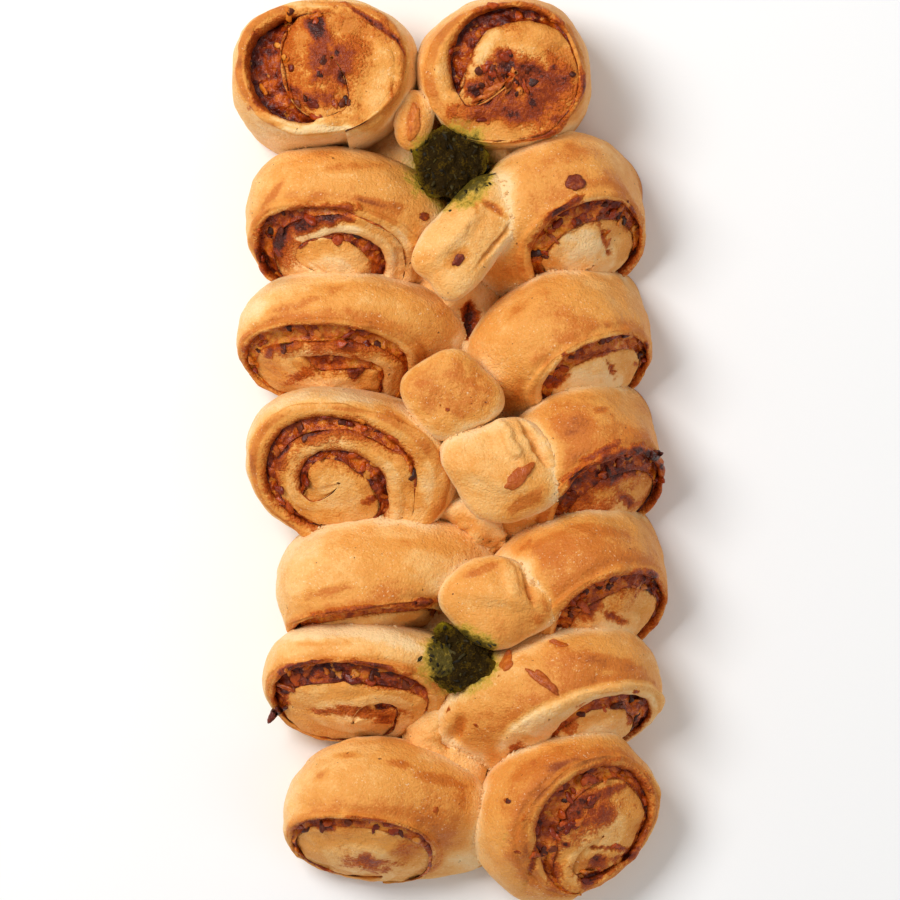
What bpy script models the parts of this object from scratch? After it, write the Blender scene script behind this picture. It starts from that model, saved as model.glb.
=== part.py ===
"""A filled pull-apart bread: fourteen slices of one rolled log, in two columns, with knobs between them.

Each slice is a strip of dough wound round its core, with the filling in the winding. It stands on the
floor on its lower cut and leans, so that its upper cut looks up, out and towards the foot of the loaf.
+Y is the head of the loaf, +X its right side. Lengths in the tables are millimetres, angles degrees.
"""

import math
from types import SimpleNamespace

import bmesh
import bpy
from mathutils import Matrix, Vector
from mathutils.bvhtree import BVHTree

MM = 0.001
STEPS = 13  # round one turn of the winding
GAP = 0.5  # round each piece that sinks into another
FILLING_GAP = 0.4  # between dough and filling
FULL_TURN = 2 * math.pi
SEAM = math.radians(75)  # the outer end of the strip thins out over this stretch
TIP = 0.2  # thickness of that end, as a share of the strip's
CORE_EYE = 0.02  # what the innermost turn leaves open at its middle
FILLING_FOOT = 0.8  # the filling stops this far above the floor
FOOT_ROOM = 0.38  # between dough and filling down there, as a share of the room that the filling lies in
INNER_RECESS = 0.6  # depth of the filling on its inner side, as a share of that on its outer side
RIM = 2.5  # how far down from the cut the crust begins
CRUST_ROWS = (0.2, 0.45, 0.75)  # heights of the rows on the crust, from the cut down to the floor

# x, y: middle of the cut. heading: where it looks, from -Y towards +X. lean: how far up it looks.
# wide, high: the cut. top: height of its upper lip. foot, foot_wide, foot_high: the oval on the floor.
# puff, drop: how far the crust reaches back from the lip, and how far it falls by then. swell: how far it
# bulges all round. reach: how far it stretches towards the spine. start, turns: the winding, from its
# outer end. wall, band: thickness of the outer turn and of the others, as shares of the radius; the outer
# turn is thicker on the side wall_at. trench: the same for the filling. dome: how far the core stands out.
# hood: how far the upper lip does. core_*: where the core lies. recess: how deep the filling lies.
USUAL = dict(
    wide=74, high=64, top=58, puff=34, drop=6, swell=4, reach=20, square=2.2, wall=0.13, wall_more=0.1,
    band=0.26, trench=0.07, trench_more=0.12, dome=7, hood=3, core_right=0, core_up=-5, recess=5, lump=0.02,
)  # fmt: skip
LEFT = dict(side=1, spin=1, start=-75, turns=2.6, wall_at=0, trench_at=110, foot_wide=80, foot_high=47)
RIGHT = dict(side=-1, spin=-1, start=255, turns=2.05, wall_at=190, trench=0.1, trench_at=75, core_up=-8,
             foot_wide=74, foot_high=42)  # fmt: skip


def slice_of(name, **sizes):
    column = LEFT if name.startswith("left") else RIGHT
    return SimpleNamespace(name=name, **{**USUAL, **column, **sizes})


SLICES = [
    slice_of("left_1", x=-54, y=160.5, foot=(-52, 152.5), heading=0, lean=97, wide=72, high=57, top=53,
             foot_wide=74, foot_high=61, puff=-4, drop=22, swell=5, reach=2, turns=2.0, wall=0.15,
             wall_at=75, trench=0.05, trench_more=0.28, trench_at=190, dome=3, hood=0, core_right=5,
             core_up=3),
    slice_of("right_1", x=23, y=157, foot=(24.5, 155), heading=10, lean=84, wide=69, high=59, top=56,
             foot_wide=70, foot_high=61, puff=2, drop=24, swell=5, reach=2, spin=1, start=235, turns=1.93,
             wall=0.14, wall_more=0.2, band=0.3, trench=0.05, trench_more=0.15, trench_at=125, dome=4,
             hood=0, core_right=5, core_up=0),
    slice_of("left_2", x=-48, y=82.5, foot=(-44, 100), heading=-8, lean=46, wide=73, turns=2.7, wall=0.12,
             wall_more=0.06, trench=0.05, trench_more=0.1, trench_at=165, dome=9, core_up=-5, reach=16),
    slice_of("right_2", x=56, y=86, foot=(48, 101), heading=28, lean=40, wide=58, trench_more=0.17, puff=48,
             reach=32),
    slice_of("left_3", x=-49, y=37, foot=(-42, 51), heading=-6, lean=38, wide=79, turns=2.65, wall=0.1,
             band=0.22, trench=0.05, trench_more=0.17, dome=8, core_up=-9, puff=28, reach=24),
    slice_of("right_3", x=59, y=31, foot=(46, 51), heading=31, lean=33, wide=57, high=62, trench_more=0.13,
             puff=44, reach=28),
    slice_of("left_4", x=-43, y=-11, foot=(-40, 0), heading=-8, lean=62, wide=84, high=68, top=60,
             foot_wide=84, puff=8, drop=16, swell=4, reach=4, turns=2.75, wall=0.2, band=0.26, trench=0.06,
             trench_more=0.08, trench_at=125, dome=5, core_right=-3, core_up=-2, hood=0),
    slice_of("right_4", x=65, y=-20, foot=(52, 1), heading=32, lean=35, wide=58, high=63, trench_more=0.17,
             puff=44, reach=30),
    slice_of("left_5", x=-34, y=-71, foot=(-32, -49), heading=8, lean=17, wide=70, high=55, turns=2.0,
             wall=0.12, puff=48, dome=9, reach=34),
    slice_of("right_5", x=65.5, y=-70, foot=(52, -49), heading=31, lean=37, wide=57, trench_more=0.15,
             puff=42, reach=30),
    slice_of("left_6", x=-39.5, y=-105, foot=(-36, -99), heading=-6, lean=40, wide=75, high=62, top=56,
             turns=2.4, wall=0.09, band=0.3, trench=0.05, trench_more=0.22, dome=10, puff=24, reach=40),
    slice_of("right_6", x=56, y=-118, foot=(44, -99), heading=21, lean=27, wide=71, high=60, wall=0.17,
             wall_more=0.33, trench=0.06, trench_more=0.16, trench_at=20, puff=44, reach=40, foot_wide=81),
    slice_of("left_7", x=-36, y=-167, foot=(-29, -150), heading=-8, lean=33, wide=68, high=58, top=55,
             turns=2.0, wall=0.1, wall_more=0.02, trench=0.05, trench_at=95, puff=44, dome=8, reach=38,
             foot_wide=74),
    slice_of("right_7", x=58.5, y=-157, foot=(43.5, -153), heading=48, lean=56, wide=65, high=64,
             foot_wide=72, foot_high=62, start=222, turns=2.1, wall=0.18, trench_more=0.14, trench_at=110,
             puff=18, drop=14, swell=6, reach=10, dome=4),
]  # fmt: skip

# The spine: the uncut back of the log, low along the middle, that the slices hang together by. It shows
# only in the clefts. Its line from head to foot, then its half width on the floor and its height.
SPINE_LINE = [(-14, 148), (-2, 105), (4, 50), (10, 0), (13, -50), (2, -100), (1, -150), (1, -172)]
SPINE_HALF, SPINE_TOP = 22, 29
SPINE_SIDES = 6
SPINE_STEP = 36  # between its sections

# Knobs: pieces of the log's spine that rose between the slices. heading turns the long side from +X.
# crease: how far across the ridge of its fold lies, as a share of the half width, and how high it stands.
KNOBS = [
    dict(name="knob_1", x=-14.5, y=138, heading=78, long=27, wide=16, low=32, top=50, crease=0, ridge=0.5),
    dict(name="knob_2", x=8.5, y=90, heading=50, long=58, wide=33, low=30, top=57, crease=0.25, ridge=2.5),
    dict(name="knob_3", x=0.5, y=22.8, heading=-12, long=40, wide=36.5, low=31, top=59, crease=0, ridge=0),
    dict(name="knob_4", x=23.5, y=-9, heading=-20, long=52, wide=44, low=30, top=60, crease=-0.2, ridge=3),
    dict(name="knob_5", x=20.5, y=-64, heading=-8, long=50, wide=37, low=30, top=58, crease=0.15, ridge=3),
]

# Pools of pesto in the dips along the spine.
POOLS = [
    dict(name="pesto_1", x=1, y=119.5, long=33, wide=34, low=32, top=47),
    dict(name="pesto_2", x=4, y=-88, long=31, wide=28, low=32, top=46),
]

# Pieces of roasted filling stuck to the crust: x, y, length, width, heading.
CRUMBS = {
    "right_2": [(53, 112, 8, 6, 20)],
    "right_6": [(39.5, -97, 21, 5, -38), (24.5, -88, 9, 6, 70)],
    "knob_4": [(29.5, -10.5, 19, 8, 40)],
    "knob_2": [(4, 79, 9, 6, 50)],
    "knob_1": [(-15, 140, 14, 6, 80)],
}

FINISHES = {  # colour, roughness
    "crust": ((0.70, 0.34, 0.11), 0.5),
    "filling": ((0.36, 0.09, 0.02), 0.35),
    "pesto": ((0.06, 0.06, 0.01), 0.4),
}


def clear_scene():
    for item in list(bpy.data.objects):
        bpy.data.objects.remove(item)


def collection_of(name):
    collection = bpy.data.collections.new(name)
    bpy.context.scene.collection.children.link(collection)
    return collection


def material_of(name):
    colour, roughness = FINISHES[name]
    material = bpy.data.materials.new(name)
    material.use_nodes = True
    shader = material.node_tree.nodes["Principled BSDF"]
    shader.inputs["Base Color"].default_value = (*colour, 1)
    shader.inputs["Roughness"].default_value = roughness
    shader.inputs["Metallic"].default_value = 0
    return material


def smooth(value):
    value = min(max(value, 0), 1)
    return value * value * (3 - 2 * value)


def axes_of(piece):
    """Across the cut, up along it, and straight out of it; then straight back along the floor."""
    heading, lean = math.radians(piece.heading), math.radians(piece.lean)
    across = Vector((math.cos(heading), math.sin(heading), 0))
    back = Vector((-math.sin(heading), math.cos(heading), 0))
    ahead = Vector((0, 0, math.sin(lean))) - back * math.cos(lean)
    return across, ahead.cross(across), ahead, back


def oval(piece, angle, wide, high):
    """A point of a rounded, slightly lumpy oval."""
    power = 2 / piece.square
    phase = piece.x + piece.y
    lumps = 1 + piece.lump * (math.sin(2 * angle + phase) + math.sin(3 * angle - 2 * phase))
    right = math.copysign(abs(math.cos(angle)) ** power, math.cos(angle))
    up = math.copysign(abs(math.sin(angle)) ** power, math.sin(angle))
    return Vector((right * wide / 2, up * high / 2)) * lumps


def lift(piece, share, angle):
    """How far the cut stands out of its plane: a dome over the core and a hood over the upper lip."""
    return piece.dome * (1 - share) + piece.hood * share * max(0, math.sin(angle))


def on_cut(piece, share, angle):
    across, up, ahead, _ = axes_of(piece)
    core = Vector((piece.core_right, piece.core_up))
    flat = core.lerp(oval(piece, angle, piece.wide, piece.high), share)
    middle = Vector((piece.x, piece.y, piece.top - piece.high / 2 * up.z))
    return middle + across * flat.x + up * flat.y + ahead * lift(piece, share, angle)


def on_foot(piece, share, angle):
    across, _, _, back = axes_of(piece)
    core = Vector((piece.core_right, piece.core_up)) * (piece.foot_high / piece.high)
    flat = core.lerp(oval(piece, angle, piece.foot_wide, piece.foot_high), share)
    middle = Vector((*piece.foot, 0))
    return middle + across * flat.x + back * flat.y


def down_wall(piece, share, angle, depth):
    """A point this far down the straight line from the cut to the floor."""
    start, end = on_cut(piece, share, angle), on_foot(piece, share, angle)
    return start + (end - start).normalized() * depth


def down_crust(piece, angle, along, weight=1, grow=0):
    """A point on the crust, which leaves the cut's rim, bulges back and out, and comes down to the floor."""
    start, end = down_wall(piece, 1, angle, RIM), on_foot(piece, 1, angle)
    across, up, _, back = axes_of(piece)
    flat = oval(piece, angle, 2, 2)
    outwards = across * flat.x + up * flat.y
    height = start.z / piece.top
    bulge = back * piece.puff * height**1.4 + outwards * piece.swell - Vector((0, 0, piece.drop * height))
    bulge += across * piece.side * piece.reach * max(0, piece.side * flat.x)
    knee = start.lerp(end, 0.5).lerp(start + bulge, weight)
    curve = start * (1 - along) ** 2 + knee * 2 * along * (1 - along) + end * along**2
    return curve + (across * flat.x + up.lerp(back, along) * flat.y) * grow


def winding(piece):
    """Stations along the strip: angle, outer share and inner share of the radius, and the turn so far."""
    count = round(piece.turns * STEPS)
    last = count / STEPS * FULL_TURN
    stations = []
    for number in range(count + 1):
        turned = number / STEPS * FULL_TURN
        angle = math.radians(piece.start) + piece.spin * turned
        thick = wall_share(piece, angle) if turned < FULL_TURN else piece.band
        if turned < SEAM:
            thick *= TIP + (1 - TIP) * smooth(turned / SEAM)
        trench = trench_share(piece, angle)
        if turned < FULL_TURN:
            begin = math.radians(piece.start)
            tip_room = wall_share(piece, begin) * TIP + trench_share(piece, begin)
            outer = 1 - tip_room * smooth((turned - FULL_TURN + SEAM) / SEAM)
        else:
            outer = stations[number - STEPS].inner - trench
        inner = outer - thick
        closing = smooth((turned - (last - FULL_TURN)) / math.radians(40))
        inner = max(inner + (CORE_EYE - inner) * closing, CORE_EYE)
        stations.append(SimpleNamespace(angle=angle, outer=outer, inner=inner, turned=turned))
    return stations


def wall_share(piece, angle):
    return piece.wall + piece.wall_more * max(0, math.cos(angle - math.radians(piece.wall_at)))


def trench_share(piece, angle):
    towards = max(0, math.cos(angle - math.radians(piece.trench_at)))
    return piece.trench + piece.trench_more * towards


def radius_at(piece, angle):
    return (oval(piece, angle, piece.wide, piece.high) - Vector((piece.core_right, piece.core_up))).length


def object_of(name, mesh, material, collection):
    item = bpy.data.objects.new(name, mesh)
    if material:
        item.data.materials.append(material)
    collection.objects.link(item)
    return item


def lofted(name, rings, crown, material, collection):
    """A closed solid through rings of points, each ring a section of the same strip or bar.

    Neighbouring rings have as many points, or one has a plain straight side where the other has a row
    more. The rows rise up to the crown and fall from there on. Each four-sided face is split from its low
    corner on one ring to its high corner on the next, so that a strip and what lies in it stay parallel.
    """
    model = bmesh.new()
    made = [[model.verts.new(point * MM) if point is not None else None for point in ring] for ring in rings]
    for ring, after in zip(made, made[1:]):
        row = 0
        while row < len(ring):
            end = row + 1
            while ring[end % len(ring)] is None or after[end % len(ring)] is None:
                end += 1
            here = [ring[i % len(ring)] for i in range(row, end + 1)]
            there = [after[i % len(ring)] for i in range(row, end + 1)]
            here, there = [v for v in here if v], [v for v in there if v]
            if len(here) == len(there) == 2 and row < crown:
                model.faces.new((here[0], here[1], there[1]))
                model.faces.new((here[0], there[1], there[0]))
            elif len(here) == len(there) == 2:
                model.faces.new((here[0], here[1], there[0]))
                model.faces.new((here[1], there[1], there[0]))
            else:
                model.faces.new(here + there[::-1])
            row = end
    model.faces.new([v for v in made[0] if v][::-1])
    model.faces.new([v for v in made[-1] if v])
    finish(model)
    mesh = bpy.data.meshes.new(name)
    model.to_mesh(mesh)
    model.free()
    return object_of(name, mesh, material, collection)


def finish(model):
    bmesh.ops.recalc_face_normals(model, faces=model.faces)
    bmesh.ops.triangulate(model, faces=model.faces)


def add_dough(piece, material, collection):
    rings = []
    for station in winding(piece):
        thick = station.outer - station.inner
        brow = [on_cut(piece, station.inner + thick * part, station.angle) for part in (0.28, 0.72)]
        crust = [None] * len(CRUST_ROWS)
        if station.turned > FULL_TURN - 0.01:
            brow = [on_cut(piece, station.inner + thick / 2, station.angle), None]
        else:
            weight = 1 - smooth((station.turned - FULL_TURN + SEAM) / SEAM)
            crust = [
                down_crust(piece, station.angle, row, weight)
                - (on_cut(piece, 1, station.angle) - on_cut(piece, station.outer, station.angle)) * (1 - row)
                for row in CRUST_ROWS
            ]
        rings.append([
            on_foot(piece, station.inner, station.angle),
            down_wall(piece, station.inner, station.angle, piece.recess),
            *brow,
            down_wall(piece, station.outer, station.angle, RIM if crust[0] else piece.recess * INNER_RECESS),
            *crust,
            on_foot(piece, station.outer, station.angle),
        ])
    return lofted(f"roll_{piece.name}", rings, 2, material, collection)


def add_filling(piece, material, collection):
    """The sheet of filling between one turn of the strip and the next one inside it."""
    stations = winding(piece)
    rings = []
    for outside, inside in zip(stations, stations[STEPS:]):
        angle = outside.angle
        room = FILLING_GAP / radius_at(piece, angle)
        foot_room = (outside.inner - inside.outer) * FOOT_ROOM
        rings.append([
            above_foot(piece, outside.inner - foot_room, angle),
            down_wall(piece, outside.inner - room, angle, piece.recess),
            down_wall(piece, inside.outer + room, angle, piece.recess * INNER_RECESS),
            above_foot(piece, inside.outer + foot_room, angle),
        ])
    return lofted(f"filling_{piece.name}", rings, 1, material, collection)


def above_foot(piece, share, angle):
    foot, start = on_foot(piece, share, angle), on_cut(piece, share, angle)
    return foot.lerp(start, FILLING_FOOT / start.z)


def add_envelope(piece, collection):
    """The outer form of a slice, a gap larger than the slice: what it takes out of those it presses on."""
    rings = []
    for number in range(STEPS):
        angle = math.radians(piece.start) + piece.spin * number / STEPS * FULL_TURN
        across, up, ahead, back = axes_of(piece)
        flat = oval(piece, angle, 2, 2)
        outwards = across * flat.x + up * flat.y
        foot = on_foot(piece, 1, angle) + (across * flat.x + back * flat.y) * GAP
        rings.append([
            foot - Vector((0, 0, 2)),
            foot + Vector((0, 0, GAP)),
            *[down_crust(piece, angle, row, 1, GAP) for row in reversed(CRUST_ROWS)],
            down_wall(piece, 1, angle, RIM) + outwards * GAP,
            on_cut(piece, 1, angle) + (ahead + outwards) * GAP,
            on_cut(piece, CORE_EYE, angle) + ahead,
        ])
    model = bmesh.new()
    made = [[model.verts.new(point * MM) for point in ring] for ring in rings]
    for ring, after in zip(made, made[1:] + made[:1]):
        for row in range(len(ring) - 1):
            model.faces.new((ring[row], ring[row + 1], after[row + 1]))
            model.faces.new((ring[row], after[row + 1], after[row]))
    model.faces.new([ring[0] for ring in made])
    model.faces.new([ring[-1] for ring in made])
    finish(model)
    mesh = bpy.data.meshes.new(f"space_{piece.name}")
    model.to_mesh(mesh)
    model.free()
    return helper(object_of(mesh.name, mesh, None, collection))


def helper(item):
    item.hide_render = True
    item.display_type = "WIRE"
    return item


def add_spine(name, material, collection, grow=0.0):
    """A low arched bar along a smooth line through its points, round at both ends."""
    points = [Vector((x, y)) for x, y in SPINE_LINE]
    start, end = points[0].y, points[-1].y
    count = round((start - end) / SPINE_STEP)
    rings = []
    for number in range(count + 1):
        y = start + (end - start) * number / count
        after = next(i for i, point in enumerate(points) if point.y <= y)
        above, below = points[max(after - 1, 0)], points[after]
        share = (above.y - y) / (above.y - below.y) if above != below else 0
        middle = above.x + (below.x - above.x) * smooth(share)
        size = 1 if 0 < number < count else 0.7
        y += grow * (1 if number == 0 else -1 if number == count else 0)
        ring = []
        for side in range(SPINE_SIDES + 1):
            angle = math.pi * side / SPINE_SIDES
            right = math.cos(angle) * (SPINE_HALF * size + grow)
            up = math.sin(angle) ** 0.7 * (SPINE_TOP * size + grow) if 0 < side < SPINE_SIDES else -grow * 2
            ring.append(Vector((middle + right, y, up)))
        rings.append(ring)
    return lofted(name, rings, SPINE_SIDES // 2, material, collection)


def add_blob(name, place, material, collection, segments=13, rings=7, grow=0.0):
    """A risen knob or a pool: a ball pressed to its size, with a plug below, a fold and small lumps."""
    model = bmesh.new()
    bmesh.ops.create_uvsphere(model, u_segments=segments, v_segments=rings, radius=1)
    heading = math.radians(place["heading"])
    long, wide = place["long"] / 2 + grow, place["wide"] / 2 + grow
    brim = place["low"] + (place["top"] - place["low"]) * place["brim"]
    for vert in model.verts:
        x, y, z = vert.co
        around = math.atan2(y, x)
        spread = 1 + place["ragged"] * math.sin(place["teeth"] * around + place["x"])
        if z > 0:
            height = (place["top"] + grow - brim) * z ** place["crown"]
            fold = math.exp(-(((y - place["crease"]) / 0.22) ** 2)) * (1 - x * x)
            height += place["ridge"] * (fold - 0.5) * z
        else:
            height = -(brim - place["low"] + grow) * abs(z)
            spread *= 1 - 0.25 * abs(z)
        flat = Vector((x * long * spread, y * wide * spread, brim + height))
        turned = Vector((
            flat.x * math.cos(heading) - flat.y * math.sin(heading),
            flat.x * math.sin(heading) + flat.y * math.cos(heading),
            flat.z,
        ))
        vert.co = (turned + Vector((place["x"], place["y"], 0))) * MM
    finish(model)
    mesh = bpy.data.meshes.new(name)
    model.to_mesh(mesh)
    model.free()
    return object_of(name, mesh, material, collection)


def boxes_meet(first, second):
    def reach(item):
        points = [vert.co for vert in item.data.vertices]
        return [(min(p[i] for p in points), max(p[i] for p in points)) for i in range(3)]

    return all(a[0] < b[1] and b[0] < a[1] for a, b in zip(reach(first), reach(second)))


def cut(item, cutters):
    """Takes the cutters out of the piece and keeps the one body that is left, without loose scraps."""
    for cutter in cutters:
        modifier = item.modifiers.new(cutter.name, "BOOLEAN")
        modifier.operation = "DIFFERENCE"
        modifier.solver = "MANIFOLD"
        modifier.object = cutter
    apply_modifiers(item)
    model = bmesh.new()
    model.from_mesh(item.data)
    bodies = bodies_of(model)
    for body in sorted(bodies, key=size_of)[:-1]:
        bmesh.ops.delete(model, geom=list(body), context="VERTS")
    model.to_mesh(item.data)
    model.free()


def apply_modifiers(item):
    evaluated = item.evaluated_get(bpy.context.evaluated_depsgraph_get())
    mesh = bpy.data.meshes.new_from_object(evaluated)
    mesh.name = item.name
    item.modifiers.clear()
    item.data = mesh


def bodies_of(model):
    left, bodies = set(model.verts), []
    while left:
        body, front = set(), [left.pop()]
        while front:
            vert = front.pop()
            body.add(vert)
            near = [edge.other_vert(vert) for edge in vert.link_edges]
            front += [other for other in near if other in left]
            left.difference_update(near)
        bodies.append(body)
    return bodies


def size_of(body):
    spans = [max(v.co[i] for v in body) - min(v.co[i] for v in body) for i in range(3)]
    return spans[0] * spans[1] * spans[2]


def add_crumbs(item, crumbs, collection):
    """Joins bits of roasted filling to the crust that they are stuck to."""
    if not crumbs:
        return
    model = bmesh.new()
    model.from_mesh(item.data)
    surface = BVHTree.FromBMesh(model)
    for number, (x, y, long, wide, heading) in enumerate(crumbs):
        place, normal, _, _ = surface.ray_cast(Vector((x * MM, y * MM, 0.2)), Vector((0, 0, -1)))
        bit = bmesh.new()
        bmesh.ops.create_uvsphere(bit, u_segments=6, v_segments=4, radius=0.5)
        bmesh.ops.scale(bit, vec=Vector((long, wide, wide * 0.6)) * MM, verts=bit.verts)
        turned = Vector((math.cos(math.radians(heading)), math.sin(math.radians(heading)), 0))
        side = normal.cross(turned).normalized()
        matrix = [side.cross(normal), side, normal]
        for vert in bit.verts:
            vert.co = sum((axis * vert.co[i] for i, axis in enumerate(matrix)), place - normal * wide * 0.05 * MM)
        mesh = bpy.data.meshes.new(f"{item.name}_bit_{number}")
        bit.to_mesh(mesh)
        bit.free()
        helper(object_of(mesh.name, mesh, None, collection))
    model.free()
    modifier = item.modifiers.new("bits", "BOOLEAN")
    modifier.operation = "UNION"
    modifier.operand_type = "COLLECTION"
    modifier.collection = collection
    apply_modifiers(item)
    for bit in list(collection.objects):
        bpy.data.objects.remove(bit)


def centre(pieces, helpers):
    """Moves everything along the floor until the box round the pieces is centred on the origin."""
    points = [vert.co for item in pieces for vert in item.data.vertices]
    middle = [(min(p[i] for p in points) + max(p[i] for p in points)) / 2 for i in range(2)]
    for item in (*pieces, *helpers):
        item.data.transform(Matrix.Translation((-middle[0], -middle[1], 0)))


def blob_of(place, **more):
    """A knob's or a pool's sizes with the values that all of its kind share."""
    return {**more, **place}


def main():
    clear_scene()
    bread, spaces, bits = (collection_of(name) for name in ("bread", "spaces", "bits"))
    crust, filling, pesto = (material_of(name) for name in ("crust", "filling", "pesto"))

    knobs = [blob_of(k, brim=0.55, crown=0.75, ragged=0.03, teeth=3) for k in KNOBS]
    pools = [
        blob_of(p, brim=0.8, crown=0.6, ragged=0.08, teeth=5, heading=0, crease=0, ridge=1) for p in POOLS
    ]
    sunk = []
    for place, material in [(k, crust) for k in knobs] + [(p, pesto) for p in pools]:
        item = add_blob(place["name"], place, material, bread)
        add_crumbs(item, CRUMBS.get(place["name"]), bits)
        space = helper(add_blob(f"space_{place['name']}", place, None, spaces, grow=GAP * 0.7))
        sunk.append((item, space))
    for number, (item, _) in enumerate(sunk):
        cut(item, [space for _, space in sunk[:number] if boxes_meet(item, space)])
    spine = add_spine("spine", crust, bread)
    sunk.append((spine, helper(add_spine("space_spine", None, spaces, grow=GAP))))

    envelopes = [add_envelope(piece, spaces) for piece in SLICES]
    for number, piece in enumerate(SLICES):
        for item in (add_dough(piece, crust, bread), add_filling(piece, filling, bread)):
            pressing = envelopes[number + 1 :] + [space for _, space in sunk]
            cut(item, [space for space in pressing if boxes_meet(item, space)])
            if item.name.startswith("roll"):
                add_crumbs(item, CRUMBS.get(piece.name), bits)

    for item in bread.objects:
        item.data.shade_smooth()
        item.data.set_sharp_from_angle(angle=math.radians(50))
    centre(bread.objects, spaces.objects)


main()
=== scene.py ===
"""Looks of the filled pull-apart bread: baked dough, its filling, the pesto, and the bits stuck to it."""

import math
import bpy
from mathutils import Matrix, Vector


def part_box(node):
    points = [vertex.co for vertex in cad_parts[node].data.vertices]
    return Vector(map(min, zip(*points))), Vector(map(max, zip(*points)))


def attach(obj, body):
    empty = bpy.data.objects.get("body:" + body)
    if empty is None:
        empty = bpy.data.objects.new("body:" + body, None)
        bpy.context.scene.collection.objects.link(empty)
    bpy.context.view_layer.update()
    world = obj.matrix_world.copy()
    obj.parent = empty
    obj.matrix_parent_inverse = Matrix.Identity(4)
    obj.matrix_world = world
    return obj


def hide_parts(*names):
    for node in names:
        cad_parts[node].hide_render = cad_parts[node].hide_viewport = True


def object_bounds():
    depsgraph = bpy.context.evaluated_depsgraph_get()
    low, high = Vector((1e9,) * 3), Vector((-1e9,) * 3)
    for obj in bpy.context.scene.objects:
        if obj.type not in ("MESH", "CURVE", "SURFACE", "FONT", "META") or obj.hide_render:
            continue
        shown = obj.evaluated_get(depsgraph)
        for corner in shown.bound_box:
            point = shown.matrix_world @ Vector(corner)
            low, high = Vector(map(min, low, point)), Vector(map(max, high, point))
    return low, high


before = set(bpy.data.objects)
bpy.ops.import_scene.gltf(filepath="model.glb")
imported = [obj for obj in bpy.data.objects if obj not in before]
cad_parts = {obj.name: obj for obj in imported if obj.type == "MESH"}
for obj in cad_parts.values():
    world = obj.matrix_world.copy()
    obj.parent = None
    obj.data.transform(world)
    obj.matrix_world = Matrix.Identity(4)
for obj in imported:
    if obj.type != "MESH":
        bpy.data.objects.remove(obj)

from types import SimpleNamespace

import bmesh
import bpy
import numpy as np
from mathutils import Vector
from mathutils.bvhtree import BVHTree

cad_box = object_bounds()

# The slices: strips of yeast dough wound round their cores, cut from a filled log and baked standing on one
# cut, golden where the oven reached them and pale where they shielded each other. Sizes are in millimetres
# and degrees, the solids' own but for some grooves and lips that are fitted closer to the photo.
MM = 0.001
TAU = 2 * math.pi
UP = np.array((0, 0, 1.0))
TURN_STEPS = 13  # stations in a turn of the solids
FINE = 12  # stations here for each of those
SEAM = math.radians(75)  # how far round a strip takes to reach its full thickness
TIP = 0.1  # its thickness at its very end, as a share of that
EYE = 0.02  # what is left open at the core, as a share of the radius
RIM = 2.5  # how far the rounded edge of the cut reaches down the crust

# The sizes are taken from the middle of the loaf, and SHIFT takes them to the shared frame.
SPINE_LEFT, SPINE_HEAD = -29.4, 148
spine_low, spine_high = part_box("spine")
SHIFT = np.array((spine_low[0] / MM - SPINE_LEFT, spine_high[1] / MM - SPINE_HEAD, 0))
PIXEL = 0.424

# x, y, wide, high, top and lean: the upper cut's middle and oval, how high it reaches, and how far it looks
# up (90: all the way). foot, foot_wide and foot_high: the lower cut's. square and lump: how square and lumpy
# both are. heading: how far the slice is turned. spin, start and turns: which way, from where and how often
# the strip is wound. side: where the spine is. puff, drop, swell and reach: how the crust bulges back,
# sinks, bulges out and reaches for the spine. wall and band: how thick the first turn and the later ones
# are, and trench: how wide the groove between them is, as shares of the radius, with so much more towards an
# angle. late: how far past the first turn the groove starts. core_right and core_up: where the core is.
# dome and hood: how far the core and the brow above it stand out. recess: how deep the filling lies.
# tone, rim and face: how much browner the crust, the first turn's cut and the whole cut are. run and slope:
# how far the filling has run into the dough outside and inside it. dark: from an orange filling (0) to
# burgundy (1). chunky: how many bits lie on it.
USUAL = dict(
    wide=74, high=64, top=58, puff=34, drop=6, swell=4, reach=20, square=2.2, wall=0.13, wall_more=0.1,
    band=0.26, trench=0.07, trench_more=0.12, dome=7, hood=3, core_right=0, core_up=-5, recess=5, lump=0.02,
    tone=0.0, face=0.3, run=4.0, slope=6.0, dark=0.5, late=0, rim=0.25, chunky=1.0,
)
LEFT = dict(side=1, spin=1, start=-75, turns=2.6, wall_at=0, trench_at=110, foot_wide=80, foot_high=47)
RIGHT = dict(side=-1, spin=-1, start=255, turns=2.05, wall_at=190, trench=0.1, trench_at=75, core_up=-8,
             foot_wide=74, foot_high=42)


def slice_of(name, **sizes):
    column = LEFT if name.startswith("left") else RIGHT
    sizes = {**USUAL, **column, **sizes}
    # The groove inside the second turn widens as the first one does, or in its own way.
    sizes = {"inner_more": sizes["trench_more"], "inner_at": sizes["trench_at"], **sizes}
    return SimpleNamespace(name=name, **sizes)


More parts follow.
